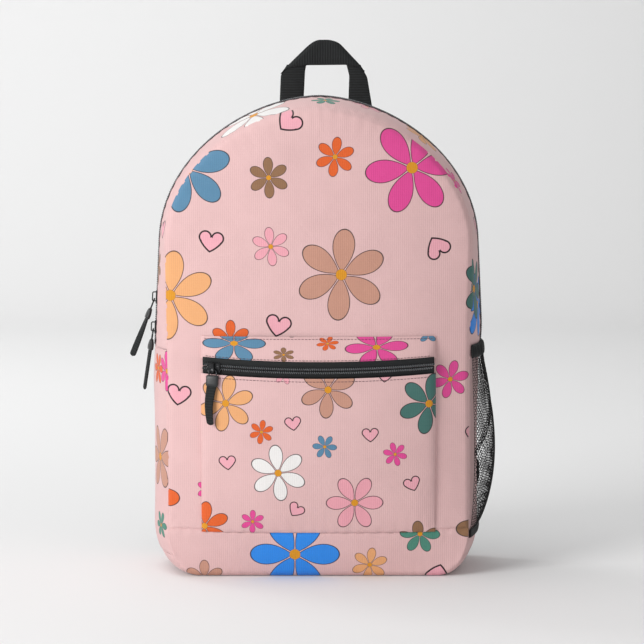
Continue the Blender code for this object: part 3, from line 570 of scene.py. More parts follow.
def add_bars(name, centres, along, across, up, section, finish):
    """Many small closed bars in one mesh. section is rings of (along, across, up) corners."""
    local = np.asarray(section).reshape(-1, 3)
    points = centres[:, None, :] + local[None, :, :1] * along[:, None, :]
    points = points + local[None, :, 1:2] * across[:, None, :] + local[None, :, 2:] * up[:, None, :]
    bar = tube_faces(len(section), len(section[0]))
    faces = [tuple(i + k * len(local) for i in face) for k in range(len(centres)) for face in bar]
    flat = np.repeat(centres[:, [0, 2, 1]], len(local), axis=0)
    return placed(name, new_mesh(name, points.reshape(-1, 3), faces, [finish], flat))


STITCH_PITCH, STITCH_LENGTH, STITCH_RADIUS = 0.0034, 0.0027, 0.00030


def stitch_section():
    """A stitch that dives into the cloth at both ends."""
    rings = []
    for share in (-1.0, -0.55, 0.0, 0.55, 1.0):
        along, drop = share * STITCH_LENGTH / 2, -0.9 * STITCH_RADIUS * share * share
        r = STITCH_RADIUS * (1.0 - 0.45 * share * share)
        rings.append([(along, r * math.cos(a), drop + r * math.sin(a)) for a in (0.3, 1.57, 2.84, 4.71)])
    return rings


def add_stitches(name, points, normals, finish):
    """A row of stitches along a path on a cloth with these normals."""
    places = along_path(points, STITCH_PITCH)
    tangents = unit(np.gradient(points, axis=0))
    centres, run = sampled(points, places), unit(sampled(tangents, places))
    up = unit(sampled(normals, places))
    across = unit(np.cross(up, run))
    return add_bars(name, centres + up * STITCH_RADIUS * 0.25, run, across, up, stitch_section(), finish)


def all_facing(y, count):
    """The same normal, forwards or backwards, for each of count points."""
    return np.tile(np.array([0.0, y, 0.0]), (count, 1))


def joined(name, *pieces):
    """One piece from several meshes."""
    target = bpy.data.meshes.new(name)
    editable = bmesh.new()
    finishes = []
    for piece in pieces:
        before = len(editable.faces)
        editable.from_mesh(piece.data)
        editable.faces.ensure_lookup_table()
        for face in editable.faces[before:]:
            finish = piece.data.materials[face.material_index]
            if finish not in finishes:
                finishes.append(finish)
            face.material_index = finishes.index(finish)
    editable.to_mesh(target)
    editable.free()
    for finish in finishes:
        target.materials.append(finish)
    for piece in pieces:
        bpy.data.objects.remove(piece)
    return placed(name, target)


def labelled(piece, nodes):
    """Hides the CAD nodes that a piece stands for, if there are any."""
    if nodes:
        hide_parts(*nodes)
    return piece


def on_body(piece, body, slot, *nodes):
    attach(piece, body)
    return labelled(piece, nodes)


def on_bag(piece, slot, *nodes):
    return on_body(piece, "bag", slot, *nodes)


def bag_to(piece, body, ends, slot, *nodes):
    """Fabric that runs from the bag into another body, with its transform baked in; body and ends, its two
    places, are not used.
    """
    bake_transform(piece)
    return labelled(piece, nodes)


def over_the_fold(piece, slot, *nodes):
    return bag_to(piece, "front_flap", FLAP_BLEND, slot, *nodes)


# The shell's surface. station runs 0 to 5 up one side: floor, corner, side, lean and arch, 1 each.


def smooth(share):
    """0 to 1 with a level start and end."""
    share = np.clip(share, 0.0, 1.0)
    return share * share * (3 - 2 * share)


def depth_share(y):
    return (np.asarray(y, float) - FRONT_Y) / (BACK_Y - FRONT_Y)


def across_depth(sizes, v):
    """A size at a depth share, from its front, middle and back values."""
    front, middle, back = sizes
    return front + (back - front) * v + (middle - (front + back) / 2) * 4 * v * (1 - v)


def outline(station, v, squeezed=False):
    """Half width and height of the shell, squeezed in low down if the side pocket is on that side."""
    s, v = np.broadcast_arrays(np.asarray(station, float), np.asarray(v, float))
    low, arch, top = (across_depth(sizes, v) for sizes in (LOW_WIDTHS, ARCH_WIDTHS, TOPS))
    bottom = BASE_LIFT * np.clip((np.abs(2 * v - 1) - 0.6) / 0.4, 0, None) ** 2
    stage = np.clip(np.floor(s), 0, 4)
    spans = [stage == k for k in range(4)]
    share = s - stage
    turn = share * math.pi / 2
    start = np.arcsin((ARCH_Z - ARCH_CENTRE_Z) / (top - ARCH_CENTRE_Z))
    angle = start + (math.pi / 2 - start) * share
    corner = bottom + (CORNER_HEIGHT - bottom) * (1 - np.cos(turn))
    side, lean = CORNER_HEIGHT + (LEAN_Z - CORNER_HEIGHT) * share, LEAN_Z + (ARCH_Z - LEAN_Z) * share
    z = np.select(spans, [bottom, corner, side, lean], ARCH_CENTRE_Z + (top - ARCH_CENTRE_Z) * np.sin(angle))
    if squeezed:
        flat = LOW_WIDTHS[0] + (LOW_WIDTHS[2] - LOW_WIDTHS[0]) * v
        press = SQUEEZE_SHARE * (1 - smooth((z - SQUEEZE_LOW) / (SQUEEZE_HIGH - SQUEEZE_LOW)))
        low = low + (flat - low) * press
    power = CORNER_POWERS[0] + (CORNER_POWERS[1] - CORNER_POWERS[0]) * v
    corner = low - CORNER_WIDTH * (1 - np.clip(np.sin(turn), 0, 1) ** power)
    over = arch * np.clip(np.cos(angle) / np.cos(start), 0, None) ** ARCH_POWER
    x = np.select(spans, [share * (low - CORNER_WIDTH), corner, low, low + (arch - low) * share], over)
    return x, z


def station_at(z):
    """The station of a height on the side or the lean."""
    if z < LEAN_Z:
        return 2 + (z - CORNER_HEIGHT) / (LEAN_Z - CORNER_HEIGHT)
    return 3 + (z - LEAN_Z) / (ARCH_Z - LEAN_Z)


def corner_station(z):
    """The station of a height on the bottom corner."""
    return 1 + math.acos(1 - z / CORNER_HEIGHT) / (math.pi / 2)


CORNER_STEPS = 80
SEAM_STATIONS = np.concatenate(
    [np.linspace(1, 2, CORNER_STEPS), np.linspace(2.01, 4, 80), np.linspace(4.005, 5, 200)])
SEAM_X, SEAM_Z = outline(SEAM_STATIONS, 0.0)
ZIP_START, BASE_SEAM = station_at(ZIP_END_Z), corner_station(0.020)


def front_half_width(z):
    return np.interp(z, SEAM_Z, SEAM_X)


def gusset(places, y):
    """Surface points for rows of (station, side) and columns of depths y, and their cloth places."""
    s = np.array([p[0] for p in places])[:, None]
    side = np.array([p[1] for p in places], float)[:, None]
    v = depth_share(y)[None, :]
    left, right = outline(s, v), outline(s, v, True)
    x = np.where(side > 0, right[0], left[0]) * side
    z = np.where(side > 0, right[1], left[1])
    points = np.stack([x, np.broadcast_to(np.asarray(y)[None, :], x.shape), z], 2)
    x0, z0 = outline(s, 0.0)
    seam = np.stack([x0 * side, z0], 2)
    run = np.gradient(seam[:, 0, :], axis=0)
    normal = unit(np.stack([run[:, 1], -run[:, 0]], 1))
    from_centre = seam[:, 0, :] - np.array([SHELL_CENTRE[0], SHELL_CENTRE[2]])
    outward = np.sign(np.sum(normal * from_centre, axis=1, keepdims=True))
    normal = normal * np.where(outward == 0, 1, outward)
    depth = np.asarray(y)[None, :, None] - FRONT_Y
    return points, seam + normal[:, None, :] * depth


def seam_roll(distance, depth=0.0013, width=0.0016):
    """How far cloth dips towards a seam, at a distance from it."""
    return -depth * np.exp(-np.abs(distance) / width)


def puckers(run, distance, pitch=0.0105, height=0.00042, reach=0.008):
    """Small gathers along a seam."""
    wave = np.sin(2 * math.pi * run / pitch + 1.7 * np.sin(run * 61.0) + 0.9 * np.sin(run * 23.0))
    return height * wave * np.exp(-np.abs(distance) / reach)


def slack(a, b, height):
    """Slow, uneven swells of hanging cloth."""
    total = 0.50 * np.sin(33 * a + 19 * b + 1.3) + 0.38 * np.sin(-26 * a + 41 * b + 0.4)
    total = total + 0.26 * np.sin(67 * a + 23 * b + 2.1) + 0.18 * np.sin(51 * a - 83 * b + 0.9)
    return height * total


def places_over_top(low_station, per_side):
    """Rows for gusset, up the right side, over the arch and down the left."""
    stations = list(np.linspace(low_station, 5.0, per_side))
    return [(s, 1) for s in stations] + [(s, -1) for s in stations[::-1][1:]]


def band(name, places, y_front, y_back, columns):
    """One strip of the gusset with soft seams at its front and back edges."""
    share = np.linspace(0, 1, columns)
    edge = 0.5 - 0.5 * np.cos(math.pi * share)
    y = y_front + (y_back - y_front) * (0.45 * share + 0.55 * edge)
    points, cloth = gusset(places, y)
    normals = grid_normals(points, SHELL_CENTRE)
    run = run_along(points[:, 0, :])[:, None]
    from_front, from_back = (y - y_front)[None, :], (y_back - y)[None, :]
    lift = slack(run, y[None, :] * 2.2, 0.0007) * smooth(from_front / 0.012) * smooth(from_back / 0.012)
    lift = lift + seam_roll(from_front) + puckers(run, from_front)
    lift = lift + seam_roll(from_back) + puckers(run + 0.3, from_back)
    points = points + normals * lift[:, :, None]
    return add_grid(name, points, points - normals * CLOTH, cloth, gusset_print, lining)


def gusset_line(places, y, lift):
    """A path round the gusset at one depth, lifted off it, and its normals."""
    points, _ = gusset(places, np.array([y - 0.001, y, y + 0.001]))
    normals = grid_normals(points, SHELL_CENTRE)[:, 1]
    return points[:, 1] + normals * lift, normals


# Camera.

LOOK_AT = Vector((0.0034, -0.070, 0.2500))
DISTANCE = 2.60
ELEVATION = math.radians(4.5)
VIEW_WIDTH = 0.6247
camera_data = bpy.data.cameras.new("camera")
camera = bpy.data.objects.new("camera", camera_data)
root.objects.link(camera)
camera_data.sensor_width = 36.0
camera_data.lens = 36.0 * DISTANCE / VIEW_WIDTH
camera.location = LOOK_AT + DISTANCE * Vector((0.0, -math.cos(ELEVATION), math.sin(ELEVATION)))
camera.rotation_euler = (math.pi / 2 - ELEVATION, 0.0, 0.0)
scene.camera = camera


# Front panel, its base strip, and the gusset.


def crown_share(z):
    low = 1 - np.clip((CROWN_Z - z) / (CROWN_Z - BASE_LIFT), 0, 1) ** 4
    high = np.sqrt(np.clip(1 - ((z - CROWN_Z) / (TOPS[0] - CROWN_Z)) ** 2, 0, None))
    return np.where(z < CROWN_Z, low, high)


def front_y(x, z):
    share = np.clip(np.abs(x) / np.maximum(front_half_width(z), 1e-4), 0, 1)
    return FRONT_Y - FRONT_CROWN * (1 - share**CROWN_POWER) * crown_share(z)


PANEL_CENTRE = np.array([0.0, 0.250])
STRIP_OVERLAP, STRIP_TUCK = 0.0024, 0.0009


def front_edge():
    """The front panel's outline in x and z: up the right side, over, down the left, along the strip."""
    start = float(np.interp(POCKET_BOTTOM, SEAM_Z, SEAM_STATIONS))
    up = np.concatenate([np.linspace(start, 2.0, 16), np.linspace(2.05, 4.0, 34), np.linspace(4.02, 5.0, 62)])
    right = np.stack(outline(up, 0.0), 1)
    left = (right * np.array([-1.0, 1.0]))[::-1][1:]
    floor_x = np.linspace(left[-1][0], right[0][0], 62)[1:-1]
    floor = np.stack([floor_x, np.full(len(floor_x), POCKET_BOTTOM)], 1)
    return np.concatenate([right, left, floor])


def make_front_panel():
    """The front cloth, in rings round its middle, with puckers and a rolled seam at its edge."""
    edge = front_edge()
    t = 1 - (1 - np.linspace(0, 1, 64)) ** 1.35
    flat = PANEL_CENTRE + t[:, None, None] * (edge - PANEL_CENTRE)[None, :, :]
    reach = np.linalg.norm(edge - PANEL_CENTRE, axis=1)[None, :]
    distance = (1 - t)[:, None] * reach * 0.86
    x, z = flat[..., 0], flat[..., 1]
    at_floor = smooth((0.052 - z) / 0.006) * smooth((0.120 - np.abs(x)) / 0.01)
    lift = slack(x, z, 0.0009) * smooth(distance / 0.03)
    lift = lift + seam_roll(distance, 0.0016, 0.0018) * (1 - 0.85 * at_floor)
    lift = lift + puckers(run_along(edge)[None, :], distance, 0.012, 0.00045, 0.010)
    y = front_y(x, z) - FABRIC * smooth(distance / 0.004) - lift
    outer = np.stack([x, y, z], 2)
    panel = add_grid("front_panel_cloth", outer, outer + CLOTH_BEHIND, flat, front_print, lining, loop=True)
    over_the_fold(panel, "printed_canvas", "front_panel", "flap_panel")


def make_base_strip():
    """The separate strip of print along the bottom of the front."""
    half = float(front_half_width(POCKET_BOTTOM)) - GAP
    x = half * np.sin(np.linspace(-1, 1, 121) * math.pi / 2)
    corner_z = np.interp(np.abs(x), SEAM_X[:CORNER_STEPS], SEAM_Z[:CORNER_STEPS])
    low = np.where(np.abs(x) < SEAM_X[0], BASE_LIFT, corner_z)[None, :]
    t = (0.5 - 0.5 * np.cos(np.linspace(0, math.pi, 20)))[:, None]
    z = low + (POCKET_BOTTOM + STRIP_OVERLAP - low) * t
    xx = np.broadcast_to(x, z.shape)
    from_low, from_top = z - low, np.maximum(POCKET_BOTTOM + 0.0004 - z, 0.0)
    lift = seam_roll(from_top, 0.0006, 0.0012) + seam_roll(from_low, 0.0010, 0.0012)
    lift = lift + puckers(xx, from_top, 0.012, 0.0003, 0.006)
    lift = lift + puckers(xx + 0.2, from_low, 0.011, 0.0004, 0.007)
    lift = lift + slack(xx, z, 0.0006) * smooth(from_top / 0.012) * smooth(from_low / 0.012)
    lift = lift - STRIP_TUCK * smooth((z - POCKET_BOTTOM + 0.0012) / STRIP_OVERLAP)
    y = front_y(xx, z) - FABRIC * smooth(from_low / 0.004) - lift
    outer = np.stack([xx, y, z], 2)
    strip = add_grid("front_base_cloth", outer, outer + CLOTH_BEHIND, outer[..., [0, 2]], strip_print, lining)
    on_bag(strip, "printed_canvas", "front_base_strip")


FRONT_EDGE = FRONT_Y + GAP
ZIP_STITCHES_Y = BAND_EDGE + 0.0024


def make_base():
    """The bottom, up to its seams on the rounded corners."""
    stations = np.concatenate([np.linspace(0, 1, 22), np.linspace(1.04, BASE_SEAM, 12)])
    places = [(s, 1) for s in stations[::-1]] + [(s, -1) for s in stations[1:]]
    on_bag(band("base_cloth", places, FRONT_EDGE, BACK_Y, 26), "printed_canvas", "base_panel")


def make_lower_gusset(word, side):
    """The side wall below the zip's end."""
    rows = np.concatenate([np.linspace(BASE_SEAM + 0.004, 2.0, 22), np.linspace(2.04, ZIP_START - 0.002, 44)])
    wall = band(f"gusset_lower_cloth_{word}", [(s, side) for s in rows], FRONT_EDGE, BACK_Y, 30)
    on_bag(wall, "printed_canvas", f"gusset_lower_{word}")


def make_upper_gussets():
    """The walls in front of and behind the zip, and the stitches along it."""
    arch = places_over_top(ZIP_START, 130)
    front = band("gusset_front_cloth", arch, FRONT_EDGE, -BAND_EDGE, 18)
    over_the_fold(front, "printed_canvas", "gusset_front_left", "gusset_front_right", "flap_gusset")
    rear = band("gusset_rear_cloth", arch, BAND_EDGE, BACK_Y, 18)
    on_bag(rear, "printed_canvas", "gusset_rear")
    front_line = add_stitches("zip_stitches_front", *gusset_line(arch, -ZIP_STITCHES_Y, 0.0003), thread)
    over_the_fold(front_line, "printed_canvas")
    rear_line = add_stitches("zip_stitches_rear", *gusset_line(arch, ZIP_STITCHES_Y, 0.0003), thread)
    on_bag(rear_line, "printed_canvas")


make_front_panel()
make_base_strip()
make_base()
make_lower_gusset("right", 1)
make_lower_gusset("left", -1)
make_upper_gussets()


# Zips.


ZIP_PITCH, COIL_SLANT, TAPE_THICK = 0.00185, 0.42, 0.0006
TAPE_EDGES = np.array([0.0002, 0.0028, 0.0040, 0.0056, 0.0074, 0.0088])
TAPE_DROPS = np.array([0.0005, 0.0004, 0.0002, 0.0002, 0.0005, 0.0012])
TOOTH_FROM, TOOTH_TO, TOOTH_HALF, TOOTH_HEIGHT, TOOTH_ROOT = 0.0006, 0.0031, 0.00046, 0.0012, -0.0006


def tooth_section(sign):
    """A coil's visible turn: a rounded bar across the zip, on one side of its middle line."""
    low, high = sign * TOOTH_FROM, sign * TOOTH_TO
    middle = (low + high) / 2
    near, far = low + (middle - low) * 0.4, high - (high - middle) * 0.3
    rings = []
    for place, size, rise in ((low, 0.6, 0.55), (near, 1.0, 0.95), (far, 1.0, 1.0), (high, 0.8, 0.5)):
        h, t = TOOTH_HALF * size, TOOTH_HEIGHT * rise
        right = [(h, TOOTH_ROOT), (h, t * 0.55), (h * 0.45, t)]
        around = [(-h, TOOTH_ROOT)] + right + [(-x, z) for x, z in right[:0:-1]]
        rings.append([(x, place, z) for x, z in around])
    return rings


def make_zip(name, path, widths, normals):
    """Tape and coil joined, for the half below the middle line and the half above it."""
    halves = []
    for word, sign, phase in (("low", -1, 0.0), ("high", 1, 0.5)):
        edges = sign * TAPE_EDGES[None, :]
        outer = path[:, None, :] + edges[..., None] * widths[:, None, :]
        outer = outer - TAPE_DROPS[None, :, None] * normals[:, None, :]
        inner = outer - TAPE_THICK * normals[:, None, :]
        cloth = np.stack(np.broadcast_arrays(run_along(path)[:, None], edges), 2)
        tape = add_grid(f"{name}_tape_{word}", outer, inner, cloth, tape_cloth)
        places = along_path(path, ZIP_PITCH, phase)
        tangent = unit(sampled(unit(np.gradient(path, axis=0)), places))
        across, up = unit(sampled(widths, places)), unit(sampled(normals, places))
        turns = unit(tangent - COIL_SLANT * across), unit(across + COIL_SLANT * tangent), up
        coil = add_bars(f"{name}_coil_{word}", sampled(path, places), *turns, tooth_section(sign), coil_nylon)
        halves.append(joined(f"{name}_{word}", tape, coil))
    return halves


def main_zip():
    """The zip up one side, over the arch and down the other."""
    path, normals = gusset_line(places_over_top(ZIP_START + 0.004, 170), 0.0, 0.0002)
    front, rear = make_zip("main_zip", path, all_facing(1.0, len(path)), normals)
    nodes = ("zip_stringer_front_left", "zip_stringer_front_right", "zip_stringer_flap")
    over_the_fold(front, "zip_coil", *nodes)
    on_bag(rear, "zip_coil", "zip_stringer_rear")


def front_outer_y(x, z):
    return float(front_y(np.array(float(x)), np.array(float(z)))) - FABRIC


def pocket_arc():
    end_z = POCKET_ZIP_Z + POCKET_ZIP_RISE
    middle = Vector((0.0, front_outer_y(0.0, POCKET_ZIP_Z) - POCKET_PROUD_CENTRE, POCKET_ZIP_Z))
    chord = Vector((0.0, front_outer_y(POCKET_HALF_WIDTH, end_z) - POCKET_PROUD_END, end_z))
    rise = middle - chord
    radius = POCKET_HALF_WIDTH**2 / (2 * rise.length) + rise.length / 2
    reach = rise.normalized() * radius
    return middle - reach, reach, reach.normalized().cross(Vector((1.0, 0.0, 0.0)))


ARC_CENTRE, ARC_REACH, ARC_AXIS = pocket_arc()


def on_pocket_arc(x, out=0.0):
    """A place on the pocket zip's arc, or further out from it."""
    angle = math.asin(x / ARC_REACH.length)
    section = ARC_REACH + ARC_REACH.normalized() * out
    return ARC_CENTRE + Matrix.Rotation(angle, 3, ARC_AXIS) @ section


ARC_X = np.linspace(-POCKET_HALF_WIDTH, POCKET_HALF_WIDTH, 97)
ARC_POINTS = np.array([on_pocket_arc(x) for x in ARC_X])


def zip_line(x, up):
    """Height of a line parallel to the pocket zip."""
    return np.interp(x, ARC_X, ARC_POINTS[:, 2]) + up


def zip_stand(x):
    """How far the pocket zip stands off the front panel."""
    y, z = np.interp(x, ARC_X, ARC_POINTS[:, 1]), np.interp(x, ARC_X, ARC_POINTS[:, 2])
    return front_y(x, z) - FABRIC - y


def pocket_zip():
    """The arched zip of the front pocket."""
    xs = np.linspace(-POCKET_HALF_WIDTH + 0.0018, POCKET_HALF_WIDTH - 0.0018, 120)
    path = np.array([on_pocket_arc(x) for x in xs])
    normals = np.array([unit(np.array(on_pocket_arc(x, 0.001) - on_pocket_arc(x))) for x in xs])
    widths = np.tile(np.array(ARC_AXIS), (len(path), 1))
    lower, upper = make_zip("pocket_zip", path - normals * 0.0006, widths, normals)
    on_bag(lower, "zip_coil", "pocket_stringer_lower")
    on_bag(upper, "zip_coil", "pocket_stringer_upper")


SIDE_SHARES = np.linspace(0.9, 1, 16)
POCKET_SHARES = np.concatenate([-SIDE_SHARES[::-1][:-1], np.linspace(-0.9, 0.9, 90), SIDE_SHARES[1:]])
POCKET_X = POCKET_HALF_WIDTH * POCKET_SHARES
POCKET_ROWS = (0.5 - 0.5 * np.cos(np.linspace(0, math.pi, 60)))[:, None]
BOTTOM_SEAM_STAND, TOP_SEAM_STAND = 0.0016, 0.0030
PRINT_PIVOT, STRIP_PRINT_STRETCH = 0.226, 1.6


def pocket_sheet(name, node, finish, heights, stands, folds, stretch=1.0):
    """A pocket sheet between two lines of heights. folds is how much its lower and upper seams dip."""
    low, high = (np.broadcast_to(line, POCKET_X.shape)[None, :] for line in heights)
    z = low + (high - low) * POCKET_ROWS
    x = np.broadcast_to(POCKET_X, z.shape)
    from_low, from_high, from_side = z - low, high - z, POCKET_HALF_WIDTH - np.abs(x)
    inside = smooth(from_side / 0.02) * smooth(from_low / 0.02) * smooth(from_high / 0.02)
    lift = slack(x * 1.3 + 0.4, z * 1.2, 0.0007) * inside
    lift = lift + folds[0] * seam_roll(from_low, 0.0012, 0.0016)
    lift = lift + folds[1] * seam_roll(from_high, 0.0010, 0.0012)
    lift = lift + puckers(x, from_low, 0.013, 0.00035, 0.008) * folds[0]
    lift = lift + puckers(z, from_side, 0.014, 0.0004, 0.008)
    side = ((1 - np.abs(POCKET_SHARES) ** 20) ** (1 / 2.6))[None, :]
    y = front_y(x, z) - FABRIC - 0.0003 - np.maximum(0.0, (stands(x, POCKET_ROWS) + lift) * side)
    outer = np.stack([x, y, z], 2)
    cloth = np.stack([x, PRINT_PIVOT + (z - PRINT_PIVOT) * stretch], 2)
    on_bag(add_grid(name, outer, outer + CLOTH_BEHIND, cloth, finish, lining), "printed_canvas", node)
    return outer


def face_stand(x, rise):
    """How far the pocket's face stands off, from its bottom seam up to the zip."""
    return BOTTOM_SEAM_STAND + (zip_stand(x) - BOTTOM_SEAM_STAND) * np.sin(math.pi / 2 * rise**0.75)


def strip_stand(x, rise):
    """How far the strip above the zip stands off, from the zip up to its top seam."""
    return zip_stand(x) + (TOP_SEAM_STAND - zip_stand(x)) * rise**1.4


def pocket_stitches(name, sheet, heights, margin):
    """Stitches on a pocket sheet along a line of heights, kept off its ends."""
    line = []
    for c in np.nonzero(np.abs(POCKET_X) < POCKET_HALF_WIDTH - margin)[0]:
        y = np.interp(heights[c], sheet[:, c, 2], sheet[:, c, 1]) - 0.0002
        line.append((POCKET_X[c], y, heights[c]))
    on_bag(add_stitches(name, np.array(line), all_facing(-1.0, len(line)), thread), "printed_canvas")


def make_pocket():
    """The pocket's face, the strip above its zip, and their stitches."""
    below_zip, above_zip = zip_line(POCKET_X, -BAND_EDGE), zip_line(POCKET_X, BAND_EDGE)
    face = pocket_sheet(
        "pocket_face_cloth", "pocket_face", pocket_print,
        (POCKET_BOTTOM, below_zip), face_stand, (1.0, 0.4))
    strip = pocket_sheet(
        "pocket_strip_cloth", "pocket_top_strip", pocket_strip_print,
        (above_zip, POCKET_TOP), strip_stand, (0.4, 1.0), STRIP_PRINT_STRETCH)
    pocket_stitches("pocket_stitches_under_zip", face, below_zip - 0.0030, 0.004)
    pocket_stitches("pocket_stitches_over_zip", strip, above_zip + 0.0030, 0.004)
    pocket_stitches("pocket_stitches_top", strip, np.full(len(POCKET_X), POCKET_TOP - 0.0022), 0.003)


main_zip()
pocket_zip()
make_pocket()


# Sliders and pulls.

SLIDER_PLATE, BAIL_RISE, BAR_OFFSET = 0.0013, 0.0014, 0.0022


def frame_of(origin, x_axis, y_axis, z_axis):
    made = Matrix((x_axis, y_axis, z_axis)).transposed().to_4x4()
    made.translation = origin
    return made


def bar_frame(slider, bail_along):
    """The frame of a pull where it hangs in its slider's bail: along the bar, down the pull, outwards."""
    travel, width, out = (slider.to_3x3() @ Vector(a) for a in ((1, 0, 0), (0, 1, 0), (0, 0, 1)))
    hang, bar = (-travel, width) if bail_along else (-width, -travel)
    place = slider @ Vector((0.0, 0.0, GAP + SLIDER_PLATE + BAIL_RISE)) + hang * BAR_OFFSET
    return frame_of(place, bar, hang, out)


def main_slider_frame(z):
    def at(station):
        x, height = outline(station, depth_share(0.0))
        return Vector((-float(x), 0.0, float(height)))

    travel = (at(3.999999) - at(3.0)).normalized()
    width = Vector((0.0, 1.0, 0.0))
    return frame_of(at(station_at(z)), travel, width, travel.cross(width))


def pocket_slider_frame(x):
    turn = Matrix.Rotation(math.asin(x / ARC_REACH.length), 3, ARC_AXIS)
    travel = turn @ Vector((1.0, 0.0, 0.0))
    return frame_of(on_pocket_arc(x), travel, ARC_AXIS, travel.cross(ARC_AXIS))


RING_CORNERS = 16


def loft(name, frame_matrix, rings, finish):
    """A closed tube through rings of (x, y, z) corners, capped at both ends."""
    corners = [p for ring in rings for p in ring]
    points = [frame_matrix @ Vector(p) for p in corners]
    return add_mesh(name, points, tube_faces(len(rings), len(rings[0])), [finish], [p[:2] for p in corners])


def rounded(half_width, half_depth, y, corner, bend, twist):
    """One rounded ring across a pull, at a distance y from its bar, turned by twist about its length."""
    ring = []
    for k in range(RING_CORNERS):
        a = 2 * math.pi * k / RING_CORNERS
        c, s = math.cos(a), math.sin(a)
        x = half_width * math.copysign(abs(c) ** corner, c)
        z = half_depth * math.copysign(abs(s) ** corner, s)
        turned = x * math.cos(twist) - z * math.sin(twist), x * math.sin(twist) + z * math.cos(twist)
        ring.append((turned[0] + bend, y, turned[1]))
    return ring


def wire_loop(name, frame_matrix, half_width, length, radius, finish):
    """A closed round-wire loop lying in the pull's plane."""
    count, sides = 32, 10
    half = length / 2
    centres = []
    for k in range(count):
        a = 2 * math.pi * k / count
        c, s = math.cos(a), math.sin(a)
        x, y = half_width * math.copysign(abs(c) ** 0.55, c), half + half * math.copysign(abs(s) ** 0.55, s)
        centres.append((x, y, 0.0))
    centres = np.array(centres)
    tangents = unit(np.roll(centres, -1, 0) - np.roll(centres, 1, 0))
    up = np.array([0.0, 0.0, 1.0])
    points, faces = [], []
    for k in range(count):
        side = np.cross(tangents[k], up)
        for j in range(sides):
            b = 2 * math.pi * j / sides
            local = centres[k] + radius * (math.cos(b) * side + math.sin(b) * up)
            points.append(frame_matrix @ Vector(local))
            m, o = (k + 1) % count, (j + 1) % sides
            faces.append((k * sides + j, k * sides + o, m * sides + o, m * sides + j))
    return add_mesh(name, points, faces, [finish])


# Share of the sleeve's length, half width and half depth.
SLEEVE_SHAPE = (
    (0.0, 0.0044, 0.0008), (0.03, 0.0056, 0.0015), (0.10, 0.0061, 0.0020), (0.30, 0.0061, 0.0022),
    (0.50, 0.0060, 0.0022), (0.75, 0.0061, 0.0022), (0.93, 0.0060, 0.0020), (0.98, 0.0053, 0.0013),
    (1.0, 0.0044, 0.0009),
)
SLEEVE_LENGTH, SLEEVE_OVERLAP, TAB_LENGTH, POCKET_TAB_LENGTH = 0.0111, 0.0012, 0.0412, 0.0385


def pull_tab(name, swung, start, length, twists, bend_at):
    """A webbing tab that narrows, bends and twists towards its rounded end."""
    rings = []
    for share in np.linspace(0, 1, 56):
        end = min(1.0, (1 - share) * 16)
        width = (0.0050 - 0.0017 * share) * math.sqrt(max(0.02, 1 - (1 - end) ** 2))
        thick = 0.0010 * (0.35 + 0.65 * min(1.0, (1 - share) * 20))
        twist = twists[0] + (twists[1] - twists[0]) * share
        rings.append(rounded(width, thick, start + length * share, 0.45, bend_at(share), twist))
    return loft(name, swung, rings, webbing)


def make_pull(word, hinge, angle, ring_length, twist_low, twist_high):
    """Wire ring, moulded sleeve and webbing tab. The twists, in degrees, are at the sleeve and tab ends."""
    swung = hinge @ Matrix.Rotation(math.radians(angle), 4, "X")
    ring = wire_loop(f"pull_ring_{word}", swung, 0.0037, ring_length + 0.0016, 0.00068, enamel)
    on_body(ring, f"{word}_pull", "zip_metal")
    low = ring_length + 0.0001
    twists = math.radians(twist_low), math.radians(twist_high)
    rings = []
    for share, width, depth in SLEEVE_SHAPE:
        twist = twists[0] * min(1.0, 2 * share)
        rings.append(rounded(width, depth, low + share * SLEEVE_LENGTH, 0.5, 0.0, twist))
    sleeve = loft(f"pull_sleeve_{word}", swung, rings, sleeve_plastic)
    on_body(sleeve, f"{word}_pull", "moulded_plastic", f"pull_link_{word}")

    def bend_at(share):
        if word == "pocket":
            return 0.0026 * math.sin(share * 2.9) - 0.0022 * share
        return 0.0005 * math.sin(share * 2.6)

    length = POCKET_TAB_LENGTH if word == "pocket" else TAB_LENGTH
    start = low + SLEEVE_LENGTH - SLEEVE_OVERLAP
    tab = pull_tab(f"pull_strap_{word}", swung, start, length, twists, bend_at)
    on_body(tab, f"{word}_pull", "black_webbing", f"pull_tab_{word}")


def finish_node(name, finish, edge, width, segments):
    """Gives a CAD node that stays its material and softer edges."""
    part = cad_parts[name]
    part.data.materials.clear()
    part.data.materials.append(finish)
    bevel = part.modifiers.new(edge, "BEVEL")
    bevel.width = width
    bevel.segments = segments


make_pull("upper", bar_frame(main_slider_frame(0.2700), True), 19.0, 0.0104, 13, 62)
make_pull("lower", bar_frame(main_slider_frame(0.2400), True), 6.0, 0.0104, 17, 24)
make_pull("pocket", bar_frame(pocket_slider_frame(-0.1010), False), 18.0, 0.0046, 0, 4)
for node in ("zip_slider_upper", "zip_slider_lower", "zip_slider_pocket", "zip_stop_left", "zip_stop_right"):
    finish_node(node, enamel, "worn_edges", 0.00028, 2)


# Mesh side pocket.


def mesh_stand(v, z):
    share = np.clip((z - MESH_BOTTOM) / (ELASTIC_TOP - MESH_BOTTOM), 0, 1)
    height = MESH_BULGE * np.sin(math.pi * share**0.76) + MESH_TOP_STAND * smooth(share * 1.2)
    return 0.0010 + height * np.clip(4 * v * (1 - v), 0, 1) ** 0.48


MESH_TABLE_Z = np.concatenate(
    [np.linspace(0.030, CORNER_HEIGHT, 40), np.linspace(CORNER_HEIGHT + 0.002, 0.240, 80)])
MESH_TABLE_S = np.array([corner_station(z) if z < CORNER_HEIGHT else station_at(z) for z in MESH_TABLE_Z])


